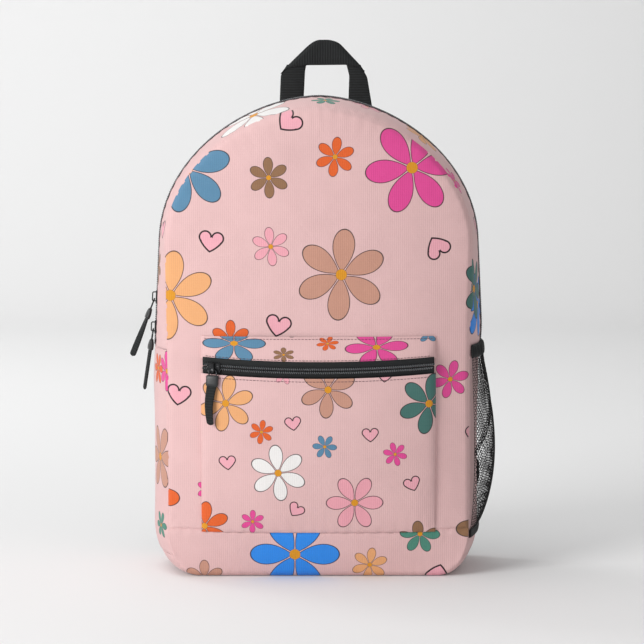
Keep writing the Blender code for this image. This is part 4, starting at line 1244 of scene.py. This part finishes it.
def mesh_surface(z, v, proud=0.0):
    """Points on the side pocket's surface, for equal-shaped arrays of heights and depth shares."""
    station = np.interp(z, MESH_TABLE_Z, MESH_TABLE_S)
    x, height = outline(station, v, True)
    below, above = (outline(station + step, v, True) for step in (-0.01, 0.01))
    run = unit(np.stack([above[0] - below[0], above[1] - below[1]], -1))
    gathers = 0.0009 * np.sin(2 * math.pi * v / 0.075 + 2.0 * np.sin(v * 17))
    gathers = gathers * smooth((z - 0.15) / 0.07) * np.clip(4 * v * (1 - v), 0, 1)
    across_fold = ((z - 0.123) - 0.10 * (v - 0.10)) / 0.0042
    fold = -0.0085 * np.exp(-across_fold**2) * smooth((0.60 - v) / 0.4) * smooth(v / 0.10)
    stand = mesh_stand(v, z) + proud + gathers + fold
    y = FRONT_Y + v * (BACK_Y - FRONT_Y)
    return np.stack([x + run[..., 1] * stand, y, height - run[..., 0] * stand], -1)


NET_PITCH, NET_ROWS, NET_HOLE, NET_YARN = 0.0031, 67, 0.865, 0.00035
NET_FRONT, NET_BACK = 0.012, 0.988
HEXAGON = ((0.0, 0.667), (0.5, 0.333), (0.5, -0.333), (0.0, -0.667), (-0.5, -0.333), (-0.5, 0.333))


def net_cell(u, w, columns):
    """The six outer and six inner corners of a cell, cut off at the net's edges."""
    outer = np.clip(np.add((u, w), HEXAGON), 0.0, (columns, NET_ROWS))
    middle = sum(outer) / 6
    return np.concatenate([outer, middle + (outer - middle) * NET_HOLE])


def make_net():
    """Hexagonal cells of yarn, each with an outer and an inner face and the walls of its hole."""
    columns = int((NET_BACK - NET_FRONT) * (BACK_Y - FRONT_Y) / NET_PITCH)
    corners, faces = [], []
    for r in range(NET_ROWS):
        for c in range(columns + (r % 2 == 0)):
            cell = net_cell(c + 0.5 * (r % 2), r + 0.5, columns)
            base = len(corners)
            corners += [(u, w, side) for side in (0, 1) for u, w in cell]
            for k in range(6):
                m = (k + 1) % 6
                faces.append((base + k, base + m, base + 6 + m, base + 6 + k))
                faces.append((base + 12 + m, base + 12 + k, base + 18 + k, base + 18 + m))
                faces.append((base + 6 + k, base + 6 + m, base + 18 + m, base + 18 + k))
    u, w, side = np.array(corners, float).T
    v = NET_FRONT + u * ((NET_BACK - NET_FRONT) / columns)
    z = MESH_BOTTOM + w * ((MESH_TOP - MESH_BOTTOM - 0.0003) / NET_ROWS)
    points = np.where(side[:, None] > 0, mesh_surface(z, v, NET_YARN), mesh_surface(z, v))
    flat = np.stack([v * (BACK_Y - FRONT_Y), z], 1)
    on_bag(add_mesh("side_pocket_net", points, faces, [net_cloth], flat), "mesh_net", "mesh_net")


def make_pocket_band(name, node, low, high, proud, ribs):
    """Binding along the net's mouth or foot, gathered by ribs."""
    v = np.linspace(0.010, 0.990, 150)
    t = np.linspace(0, 1, 12)
    zz, vv = np.meshgrid(low + (high - low) * t, v, indexing="ij")
    round_edge = proud * np.sqrt(np.clip(1 - (2 * t - 1) ** 4, 0, 1))[:, None]
    gathers = ribs * np.sin(2 * math.pi * vv / 0.024 + 1.5 * np.sin(vv * 31)) * np.sin(math.pi * t)[:, None]
    middle = mesh_surface(zz, vv)
    normals = grid_normals(middle, (0.0, 0.0, 0.13))
    top = middle + normals * (round_edge + gathers + 0.0004)[:, :, None]
    bottom = middle - normals * (round_edge * 0.5 + 0.0001)[:, :, None]
    cloth = np.stack([vv * (BACK_Y - FRONT_Y), zz], 2)
    on_bag(add_grid(name, top, bottom, cloth, binding), "black_webbing", node)


make_net()
make_pocket_band("side_pocket_elastic", "mesh_elastic", MESH_TOP - 0.0006, ELASTIC_TOP, 0.0013, 0.0005)
make_pocket_band("side_pocket_hem", "mesh_hem", MESH_BOTTOM - 0.0080, MESH_BOTTOM + 0.0006, 0.0011, 0.0001)


# Padding by cloth simulation.


def inflate(piece, held, pressure, cap):
    """Swells a closed piece by cloth simulation with the held points fixed, and keeps the result."""
    count = len(piece.data.vertices)
    start, moved = np.empty(count * 3), np.empty(count * 3)
    piece.data.vertices.foreach_get("co", start)
    group = piece.vertex_groups.new(name="held")
    group.add([int(i) for i in held], 1.0, "REPLACE")
    cloth = piece.modifiers.new("swell", "CLOTH")
    settings = cloth.settings
    settings.quality = 6
    settings.mass = 0.3
    settings.vertex_group_mass = "held"
    settings.tension_stiffness = settings.compression_stiffness = 12.0
    settings.shear_stiffness = 6.0
    settings.bending_stiffness = 0.3
    settings.use_pressure = True
    settings.uniform_pressure_force = pressure
    settings.effector_weights.gravity = 0.0
    cloth.point_cache.frame_start, cloth.point_cache.frame_end = 1, 20
    for moment in range(1, 21):
        scene.frame_set(moment)
    seen = piece.evaluated_get(bpy.context.evaluated_depsgraph_get())
    seen.data.vertices.foreach_get("co", moved)
    piece.modifiers.remove(cloth)
    piece.vertex_groups.remove(group)
    scene.frame_set(1)
    step = np.nan_to_num(moved - start).reshape(-1, 3)
    length = np.linalg.norm(step, axis=1, keepdims=True)
    step = step * np.minimum(1.0, cap / np.maximum(length, 1e-9))
    piece.data.vertices.foreach_set("co", start + step.ravel())
    piece.data.update()


def refined(piece):
    """One level of subdivision, applied."""
    modifier = piece.modifiers.new("finer", "SUBSURF")
    modifier.levels = modifier.render_levels = 1
    bpy.context.view_layer.update()
    seen = piece.evaluated_get(bpy.context.evaluated_depsgraph_get())
    mesh = bpy.data.meshes.new_from_object(seen)
    piece.modifiers.clear()
    piece.data = mesh
    mesh.polygons.foreach_set("use_smooth", [True] * len(mesh.polygons))
    return piece


def tube(name, centres, radii, finish, up):
    """A soft tube along centres; radii are its half width and half thickness, up its thickness way."""
    sides = 10
    tangents = unit(np.gradient(centres, axis=0))
    across = unit(np.cross(up, tangents))
    rise = np.cross(tangents, across)
    run = run_along(centres)
    points, cloth = [], []
    for k in range(len(centres)):
        for j in range(sides):
            a = 2 * math.pi * j / sides
            points.append(centres[k] + radii[0] * math.cos(a) * across[k] + radii[1] * math.sin(a) * rise[k])
            cloth.append((0.006 * j / sides, run[k]))
    return add_mesh(name, points, tube_faces(len(centres), sides), [finish], cloth)


def smooth_curve(controls, count):
    """Points along a smooth curve through the controls (Catmull-Rom)."""
    c = np.asarray(controls, float)
    ends = np.vstack([2 * c[0] - c[1], c, 2 * c[-1] - c[-2]])
    t = np.linspace(0, len(c) - 1, count)
    i = np.minimum(t.astype(int), len(c) - 2)
    u = (t - i)[:, None]
    p, q, r, s = ends[i], ends[i + 1], ends[i + 2], ends[i + 3]
    return (2 * q + (r - p) * u + (2 * p - 5 * q + 4 * r - s) * u**2 + (3 * q - p - 3 * r + s) * u**3) / 2


def even(points, pitch):
    """The same path with points evenly spaced."""
    run = run_along(points)
    wanted = np.linspace(0, run[-1], max(4, int(run[-1] / pitch)))
    return np.stack([np.interp(wanted, run, points[:, i]) for i in range(3)], 1)


def ribbon(name, path, across):
    """Strap webbing along a path: across is its width way, the same all along."""
    path = even(np.asarray(path, float), 0.0018)
    tangent = unit(np.gradient(path, axis=0))
    across = unit(np.asarray(across, float))
    normal = unit(np.cross(tangent, across))
    share = np.linspace(-1, 1, 9)
    edge = 1 - 0.45 * np.abs(share) ** 6
    spread = (share * WEBBING_WIDTH / 2)[None, :]
    middle = path[:, None, :] + across * spread[..., None]
    half = normal[:, None, :] * (WEBBING_THICK / 2 * edge)[None, :, None]
    cloth = np.stack(np.broadcast_arrays(spread, run_along(path)[:, None]), 2)
    return add_grid(name, middle + half, middle - half, cloth, webbing)


# Back panel, lining and slip pocket.


def back_face(x, z):
    share = np.clip(np.abs(x) / LOW_WIDTHS[2], 0, 1)
    return BACK_Y + GAP + FABRIC + BACK_CROWN * (1 - share**2) * np.sin(math.pi * np.clip(z / TOPS[2], 0, 1))


PADS = [(0.024, 0.144), (0.156, 0.264), (0.276, 0.384)]


def pad_share(x, z, half):
    """1 inside the back's pads and 0 in the sewn channels between them."""
    total = np.zeros(np.broadcast(x, z).shape)
    for low, high in PADS:
        across = smooth((np.abs(x) - 0.008) / 0.010) * smooth((half - 0.012 - np.abs(x)) / 0.012)
        total = total + across * smooth((z - low) / 0.010) * smooth((high - z) / 0.010)
    return total


BACK_MARGIN_LOW, BACK_MARGIN_HIGH = 0.012, 0.445


def back_stitches(half, z):
    """Stitches round the pads, along the middle channel and along the back's sides."""
    lines = []
    for low, high in PADS:
        for height in (low - 0.002, high + 0.002):
            reach = float(np.interp(height, z, half)) - 0.014
            for side in (-1, 1):
                xs = side * np.linspace(0.006, reach, 40)
                lines.append(np.stack([xs, back_face(xs, height) - 0.0006, np.full(40, height)], 1))
    for side in (-1, 1):
        xs, zs = np.full(90, 0.0055), np.linspace(0.024, 0.386, 90)
        lines.append(np.stack([side * xs, back_face(xs, zs) - 0.0005, zs], 1))
    edge = np.stack([half - 0.0065, back_face(half - 0.0065, z) - 0.0004, z], 1)
    for side in (-1, 1):
        lines.append((edge * np.array([side, 1, 1]))[(z > BACK_MARGIN_LOW) & (z < BACK_MARGIN_HIGH)])
    for k, line in enumerate(lines):
        on_bag(add_stitches(f"back_stitches_{k}", line, all_facing(1.0, len(line)), black_thread), "air_mesh")


def make_back():
    """The padded back, swollen between its stitched channels."""
    stations = np.concatenate([np.linspace(1, 2, 16), np.linspace(2.05, 4, 54), np.linspace(4.03, 4.97, 34)])
    half, z = (np.asarray(v)[:, None] for v in outline(stations, 1.0))
    x = half * np.linspace(-1, 1, 67)[None, :]
    zz = np.broadcast_to(z, x.shape)
    pads = pad_share(x, zz, np.broadcast_to(half, x.shape))
    from_side = np.minimum(half - np.abs(x), np.minimum(zz, TOPS[2] - zz))
    y = back_face(x, zz) + 0.0022 * pads - 0.0007 * (1 - pads) - 0.0016 * np.exp(-from_side / 0.0020)
    outer = np.stack([x, y, zz], 2)
    inner = np.stack([x, back_face(x, zz) - FABRIC - 0.0002, zz], 2)
    back = add_grid("back_padding", outer, inner, outer[..., [0, 2]], air_mesh, lining)
    fixed = np.nonzero((pads < 0.15).ravel())[0]
    inflate(back, list(fixed) + list(range(x.size, 2 * x.size)), 4.0, 0.0030)
    refined(back)
    on_bag(back, "air_mesh", "back_panel", "back_foam")
    back_stitches(half[:, 0], z[:, 0])


def make_lining():
    """The lining over the foam, a little smaller than the back."""
    stations = np.concatenate([np.linspace(1, 2, 12), np.linspace(2.1, 4, 40), np.linspace(4.05, 4.93, 22)])
    half, z = (np.asarray(v)[:, None] for v in outline(stations, 1.0))
    middle = TOPS[2] / 2
    half, z = half - 0.004, middle + (z - middle) * (1 - 0.004 / middle)
    x = half * np.linspace(-1, 1, 50)[None, :]
    zz = np.broadcast_to(z, x.shape)
    y = BACK_Y - 0.0090 + back_face(x, zz) - BACK_Y - GAP - FABRIC + slack(x, zz, 0.0004)
    near = np.stack([x, y, zz], 2)
    cloth = add_grid("back_lining_cloth", near, near + np.array([0, 0.0007, 0]), near[..., [0, 2]], lining)
    on_bag(cloth, "lining_cloth", "back_lining")


SLIP_HALF, SLIP_BOTTOM, SLIP_TOP, SLIP_EDGE = 0.110, 0.030, 0.290, 0.004


def make_slip_pocket():
    """The slip pocket sewn to the lining, open at its hemmed top."""
    edge = np.linspace(SLIP_HALF - SLIP_EDGE, SLIP_HALF, 5)
    flat = np.linspace(-SLIP_HALF + SLIP_EDGE, SLIP_HALF - SLIP_EDGE, 52)
    xs = np.concatenate([-edge[::-1][:-1], flat, edge[1:]])
    zs = np.linspace(SLIP_BOTTOM, SLIP_TOP, 60)
    x, zz = np.meshgrid(xs, zs)
    side = (1 - (np.abs(x) / SLIP_HALF) ** 40) ** 0.5
    stand = 0.0010 + 0.0074 * smooth((zz - SLIP_BOTTOM) / 0.05) * side
    stand = stand + slack(x * 1.4, zz, 0.0009) * side * smooth((zz - SLIP_BOTTOM) / 0.06)
    hem = 0.0007 * smooth((zz - (SLIP_TOP - 0.016)) / 0.0012) * side
    base = BACK_Y - 0.0098 + back_face(x, zz) - BACK_Y - GAP - FABRIC
    near = np.stack([x, base - stand - hem, zz], 2)
    pocket = add_grid("slip_pocket_cloth", near, near + np.array([0, 0.0008, 0]), near[..., [0, 2]], lining)
    on_bag(pocket, "lining_cloth", "inner_pocket")
    row = int(np.argmin(np.abs(zs - (SLIP_TOP - 0.017))))
    line = near[row, 3:-3] - np.array([0, 0.0002, 0])
    stitches = add_stitches("slip_pocket_stitches", line, all_facing(-1.0, len(line)), black_thread)
    on_bag(stitches, "lining_cloth")


# Carry handle.

LEG_LOW, LEG_TOP = 0.4440, 0.5010
LEGS = {
    "left": (((0.4440, -0.0396), (0.4650, -0.0396), (0.4905, -0.0385), (0.4960, -0.0355), (0.5010, -0.0320)),
             ((0.4440, -0.0153), (0.4665, -0.0152), (0.4950, -0.0138), (0.5010, -0.0125))),
    "right": (((0.4440, 0.0303), (0.4660, 0.0303), (0.4900, 0.0311), (0.5010, 0.0282)),
              ((0.4440, 0.0551), (0.4580, 0.0545), (0.4884, 0.0494), (0.5006, 0.0425))),
}
BAR_LOW = ((-0.0385, 0.4908), (-0.0355, 0.4943), (-0.0318, 0.4974), (-0.0125, 0.5004), (0.0282, 0.5008),
           (0.0410, 0.4983), (0.0468, 0.4933))
BAR_HIGH = ((-0.0385, 0.4916), (-0.0355, 0.4963), (-0.0117, 0.5195), (-0.0055, 0.5243), (0.0000, 0.5262),
            (0.0103, 0.5262), (0.0160, 0.5250), (0.0214, 0.5226), (0.0425, 0.5004), (0.0468, 0.4940))
HANDLE_BLEND = ((0.0, 0.074, 0.4540), (0.0, 0.074, 0.4700))


def traced(table, values):
    """Values read off a table of points, with its bends softened."""
    rough = np.interp(values, *zip(*table))
    return np.convolve(np.pad(rough, 2, mode="edge"), np.array([1, 2, 3, 2, 1]) / 9, mode="valid")


def handle_webbing(name, points, share, flat):
    """Webbing with thinner edges; share runs from 0 to 1 across it."""
    push = np.zeros_like(points)
    push[..., 1] = 0.0008 * (1 - 0.45 * np.abs(2 * share - 1) ** 6)
    return add_grid(name, points - push, points + push, flat, webbing)


def handle_leg(word, left, right):
    z = np.linspace(LEG_LOW, LEG_TOP, 56)
    low, high = traced(left, z), traced(right, z)
    share = np.linspace(0, 1, 17)[None, :]
    x = low[:, None] + (high - low)[:, None] * share
    zz = np.broadcast_to(z[:, None], x.shape)
    at_end = back_face(x, zz) + 0.0014
    y = at_end + (0.0748 - at_end) * smooth((zz - 0.4530) / 0.018)
    y = y - 0.0007 * np.sin(math.pi * share) * smooth((zz - 0.458) / 0.02)
    points = np.stack([x, y, zz], 2)
    return handle_webbing(f"leg_{word}", points, share, points[..., [0, 2]])


def handle_bar():
    """The handle's top, with the folds where it turns into the legs."""
    x = np.linspace(BAR_LOW[0][0], BAR_LOW[-1][0], 74)
    low, high = traced(BAR_LOW, x), traced(BAR_HIGH, x)
    share = np.linspace(0, 1, 21)[:, None]
    z = low[None, :] + (high - low)[None, :] * share
    xx = np.broadcast_to(x[None, :], z.shape)
    slope = np.abs(np.gradient(high, x))[None, :]
    to_fold = (high[None, :] - z) / np.sqrt(1 + slope**2)
    y = 0.0727 + smooth((slope - 0.3) / 0.4) * 0.0013 * (1 - smooth(to_fold / 0.0040))
    y = y - 0.0005 * np.sin(math.pi * share) + 0.0004 * np.sin(xx * 160 + 0.8)
    points = np.stack([xx, y, z], 2)
    return handle_webbing("crossbar", points, share, points[..., [2, 0]])


def make_handle():
    """The webbing handle in one piece, and the stitches of its two ends."""
    legs = [handle_leg(word, left, right) for word, (left, right) in LEGS.items()]
    handle = joined("carry_handle", *legs, handle_bar())
    nodes = ("top_handle", "handle_end_left", "handle_end_right")
    bag_to(handle, "handle", HANDLE_BLEND, "black_webbing", *nodes)
    for word, low, high in (("left", -0.0376, -0.0172), ("right", 0.0323, 0.0530)):
        for k, height in enumerate((0.4458, 0.4500)):
            xs = np.linspace(low, high, 12)
            line = np.stack([xs, back_face(xs, height) + 0.0024, np.full(12, height)], 1)
            stitches = add_stitches(f"handle_stitches_{word}_{k}", line, all_facing(1.0, 12), black_thread)
            on_bag(stitches, "black_webbing")


# Shoulder straps.

PAD_END, ANCHOR = np.array([0.100, 0.0930, 0.178]), np.array([0.152, 0.0790, 0.090])
PAD_PATH = ((0.0455, 0.0768, 0.4290), (0.0460, 0.0800, 0.4135), (0.0500, 0.0930, 0.3700),
            (0.0600, 0.1020, 0.3050), (0.0750, 0.1010, 0.2350), (0.1000, 0.0930, 0.1780))
PAD_WIDTH = 0.058
WEBBING_WIDTH, WEBBING_THICK = 0.0246, 0.0012
STRAP_BLEND = ((0.0, 0.0785, 0.4230), (0.0, 0.0785, 0.4030))


def make_yoke():
    """The bar of binding that the straps are sewn under, with two rows of stitches."""
    z = np.linspace(0.4175, 0.4390, 12)
    half = np.interp(z, (0.4175, 0.4280, 0.4390), (0.080, 0.076, 0.060))
    share = np.linspace(-1, 1, 60)
    x, zz = half[:, None] * share, np.broadcast_to(z[:, None], (12, 60))
    lift = 0.0021 - 0.0009 * np.abs(share)[None, :] ** 20 - 0.0008 * np.abs((zz - 0.42825) / 0.01075) ** 12
    outer = np.stack([x, back_face(x, zz) + lift, zz], 2)
    inner = np.stack([x, back_face(x, zz) + 0.0006, zz], 2)
    on_bag(add_grid("yoke_cloth", outer, inner, outer[..., [0, 2]], binding), "black_webbing", "strap_yoke")
    for k, row in enumerate((1, 10)):
        line = outer[row, 3:-3] + np.array([0, 0.0002, 0])
        stitches = add_stitches(f"yoke_stitches_{k}", line, all_facing(1.0, len(line)), black_thread)
        on_bag(stitches, "black_webbing")


def strap_side(word, piece, slot, *nodes):
    return bag_to(piece, f"{word}_strap", STRAP_BLEND, slot, *nodes)


def pad_directions(line):
    """Across and outwards from the back, along a strap pad's middle line."""
    tangent = unit(np.gradient(line, axis=0))
    normal = unit(np.cross(tangent, np.array([1.0, 0.0, 0.0])))
    normal = normal * np.sign(normal[:, 1:2])
    across = unit(np.cross(normal, tangent))
    return across * np.sign(across[:, :1]), normal


PAD_COLUMNS = 17
PAD_LINE = even(smooth_curve(PAD_PATH, 200), 0.0035)
PAD_ACROSS, PAD_NORMAL = pad_directions(PAD_LINE)
ALONG = np.linspace(0, 1, len(PAD_LINE))
PAD_HALF = PAD_WIDTH / 2 * (1 - 0.48 * smooth((ALONG - 0.86) / 0.14)) * (0.80 + 0.20 * smooth(ALONG / 0.12))
PAD_THICK = 0.0040 * (0.30 + 0.70 * smooth(ALONG / 0.16) * smooth((1 - ALONG) / 0.05))


def strap_pad(word, flip):
    """The padded strap, swollen inside its rim, and the binding round it."""
    share = np.sin(np.linspace(-1, 1, PAD_COLUMNS) * math.pi / 2)
    crown = np.sqrt(np.clip(1 - share**4, 0, 1)) * 0.80 + 0.20
    spread = PAD_HALF[:, None] * share[None, :]
    middle = PAD_LINE[:, None, :] + PAD_ACROSS[:, None, :] * spread[..., None]
    push = PAD_NORMAL[:, None, :] * (PAD_THICK[:, None] * crown[None, :])[..., None]
    cloth = np.stack(np.broadcast_arrays(spread, run_along(PAD_LINE)[:, None]), 2)
    pad = add_grid(f"strap_padding_{word}", (middle + push) * flip, (middle - push) * flip, cloth, air_mesh)
    index = np.arange(spread.size).reshape(spread.shape)
    rim = np.concatenate([*index[[0, -1, 1]], *index[:, [0, -1, 1, -2]].T])
    inflate(pad, list(rim) + list(rim + spread.size), 4.0, 0.0016)
    refined(pad)
    strap_side(word, pad, "air_mesh", f"strap_pad_{word}")
    loop = even(np.concatenate([middle[:, -1], middle[-1, ::-1][1:-1], middle[::-1, 0]]), 0.0028) * flip
    places = np.linspace(0, 2 * len(PAD_LINE) - 1, len(loop))
    ups = unit(sampled(np.concatenate([PAD_NORMAL, PAD_NORMAL[::-1]]), places)) * flip
    edge = tube(f"strap_binding_{word}", loop, (0.0017, 0.0023), binding, ups)
    strap_side(word, edge, "black_webbing")


def strap_stitches(word, flip):
    """Rows of stitches along both edges of both faces of a pad."""
    seam, keep = 0.84, slice(4, len(PAD_LINE) - 4)
    rise = PAD_THICK * (0.80 * math.sqrt(1 - seam**4) + 0.20) + 0.0001
    for k, column in enumerate((seam, -seam)):
        for face_word, face in (("out", 1), ("in", -1)):
            at = PAD_LINE + PAD_ACROSS * (PAD_HALF * column)[:, None] + PAD_NORMAL * face * rise[:, None]
            normals = PAD_NORMAL * face * flip
            name = f"strap_stitches_{word}_{k}_{face_word}"
            strap_side(word, add_stitches(name, at[keep] * flip, normals[keep], black_thread), "air_mesh")


DOWN = unit(ANCHOR - PAD_END)
OUT = -unit(np.cross(np.array([1.0, 0.0, 0.0]), DOWN))
OUT = unit(OUT - DOWN * np.dot(OUT, DOWN))
# Webbing paths below the pad: distance down from its end, and distance out.
HOOK = ((0.0004, 0.0030), (0.0030, 0.0030), (0.0052, 0.0024), (0.0063, 0.0))
TAIL_PATH = (
    (0.0340, -0.0048), (0.0250, -0.0046), (0.0180, -0.0030), (0.0130, -0.0025), (0.0107, -0.0018),
    (0.0098, 0.0), (0.0107, 0.0018), (0.0130, 0.0026), (0.0155, 0.0023), (0.0185, 0.0004),
    (0.0220, -0.0018), (0.0260, -0.0026), (0.0310, -0.0026), (0.0380, -0.0010), (0.0480, 0.0010),
    (0.0650, 0.0020), (0.0850, 0.0025), (0.1050, 0.0020),
)
TAIL_HEM_PATH = ((0.0930, 0.0037), (0.0990, 0.0037), (0.1046, 0.0033))
LOADED_END = float(np.linalg.norm(ANCHOR - PAD_END)) - 0.004
LOADED_PATH = ((0.0335, -0.0048), (0.0500, -0.0048), (0.0750, -0.0044), (LOADED_END, -0.0036))


def strap_strip(name, path, count, flip):
    """Webbing through places of (distance down, distance out)."""
    points = [PAD_END + DOWN * u + OUT * w for u, w in path]
    return ribbon(name, smooth_curve(points, count) * flip, np.cross(OUT, DOWN) * flip)


def strap_webbing(word, flip):
    """The adjuster's loop, the free tail through it, and the loaded run to the anchor."""
    body = f"{word}_strap"
    loop = strap_strip(f"lock_loop_{word}", HOOK + tuple((u, -w) for u, w in HOOK[-2::-1]), 60, flip)
    on_body(loop, body, "black_webbing", f"buckle_loop_{word}")
    tail = strap_strip(f"strap_tail_{word}", TAIL_PATH, 200, flip)
    hem = strap_strip(f"tail_hem_{word}", TAIL_HEM_PATH, 30, flip)
    on_body(joined(f"webbing_end_{word}", tail, hem), body, "black_webbing", f"webbing_tail_{word}")
    loaded = strap_strip(f"load_webbing_{word}", LOADED_PATH, 120, flip)
    ends = tuple(ANCHOR * flip), tuple((PAD_END + DOWN * 0.034) * flip)
    bag_to(loaded, body, ends, "black_webbing", f"strap_webbing_{word}")


TAB_LOW, TAB_HIGH, TAB_INNER_X = 0.0640, 0.1080, 0.1490
TAB_OUTER = ((0.0640, 0.1500), (0.0700, 0.1620), (0.0790, 0.1652), (0.0970, 0.1645), (0.1080, 0.1500))


def anchor_tab(word, flip):
    """The sewn tab at a lower back corner that the webbing ends on."""
    z = np.linspace(TAB_LOW, TAB_HIGH, 40)
    t = np.linspace(0, 1, 14)
    x = TAB_INNER_X + (traced(TAB_OUTER, z) - TAB_INNER_X)[:, None] * t
    zz = np.broadcast_to(z[:, None], x.shape)
    rim = np.maximum(np.abs(2 * t - 1)[None, :], np.abs((zz - 0.086) / 0.022)) ** 10
    y = BACK_Y + GAP + FABRIC + 0.0014
    outer = np.stack([x, y + 0.0019 - 0.0007 * rim, zz], 2) * flip
    inner = np.stack([x, np.full_like(x, y + 0.0002), zz], 2) * flip
    tab = add_grid(f"anchor_tab_{word}", outer, inner, outer[..., [0, 2]], binding)
    on_bag(tab, "black_webbing", f"strap_anchor_{word}")


def make_strap(word, side):
    flip = np.array([side, 1.0, 1.0])
    strap_pad(word, flip)
    strap_stitches(word, flip)
    strap_webbing(word, flip)
    anchor_tab(word, flip)
    finish_node(f"ladder_lock_{word}", moulded, "soft_edges", 0.0006, 3)


make_back()
make_lining()
make_slip_pocket()
make_handle()
make_yoke()
make_strap("left", -1)
make_strap("right", 1)


# Floor, light and backdrop.


def studio():
    """A paper floor that curves up into a wall behind the bag."""
    rows = [(-3.4, 0.0), (3.0, 0.0)]
    for k in range(1, 13):
        a = math.pi / 2 * k / 12
        rows.append((3.0 + 0.8 * math.sin(a), 0.8 - 0.8 * math.cos(a)))
    rows.append((3.8, 5.0))
    points = [(x, y, z - 0.0004) for y, z in rows for x in (-5.0, 5.0)]
    faces = [(2 * i, 2 * i + 1, 2 * i + 3, 2 * i + 2) for i in range(len(rows) - 1)]
    mesh = bpy.data.meshes.new("studio_floor")
    mesh.from_pydata(points, [], faces)
    made = bpy.data.materials.new("studio_paper")
    made.use_nodes = True
    shader = made.node_tree.nodes["Principled BSDF"]
    shader.inputs["Base Color"].default_value = (0.82, 0.82, 0.82, 1.0)
    shader.inputs["Roughness"].default_value = 0.9
    shader.inputs["Specular IOR Level"].default_value = 0.1
    mesh.materials.append(made)
    placed("studio_floor", mesh)


def area_light(name, place, target, size, power):
    data = bpy.data.lights.new(name, "AREA")
    data.shape = "RECTANGLE"
    data.size, data.size_y = size
    data.energy = power
    light = bpy.data.objects.new(name, data)
    root.objects.link(light)
    light.location = place
    light.rotation_euler = (Vector(target) - Vector(place)).to_track_quat("-Z", "Y").to_euler()


studio()
area_light("key", (-1.85, -1.85, 0.95), (0.0, 0.0, 0.15), (1.3, 1.3), 56.0)
area_light("fill", (1.9, -2.4, 0.7), (0.0, 0.0, 0.15), (1.8, 1.8), 8.5)
area_light("top", (-0.4, 0.1, 2.4), (0.0, 0.3, 0.0), (1.8, 1.8), 16.0)
area_light("wall", (-1.6, 1.4, 2.4), (-0.2, 3.8, 0.8), (1.5, 1.5), 43.0)
world = bpy.data.worlds.new("studio")
scene.world = world
world.use_nodes = True
world.node_tree.nodes["Background"].inputs[0].default_value = (1.0, 1.0, 1.0, 1.0)
world.node_tree.nodes["Background"].inputs[1].default_value = 0.40
scene.view_settings.view_transform = "Standard"
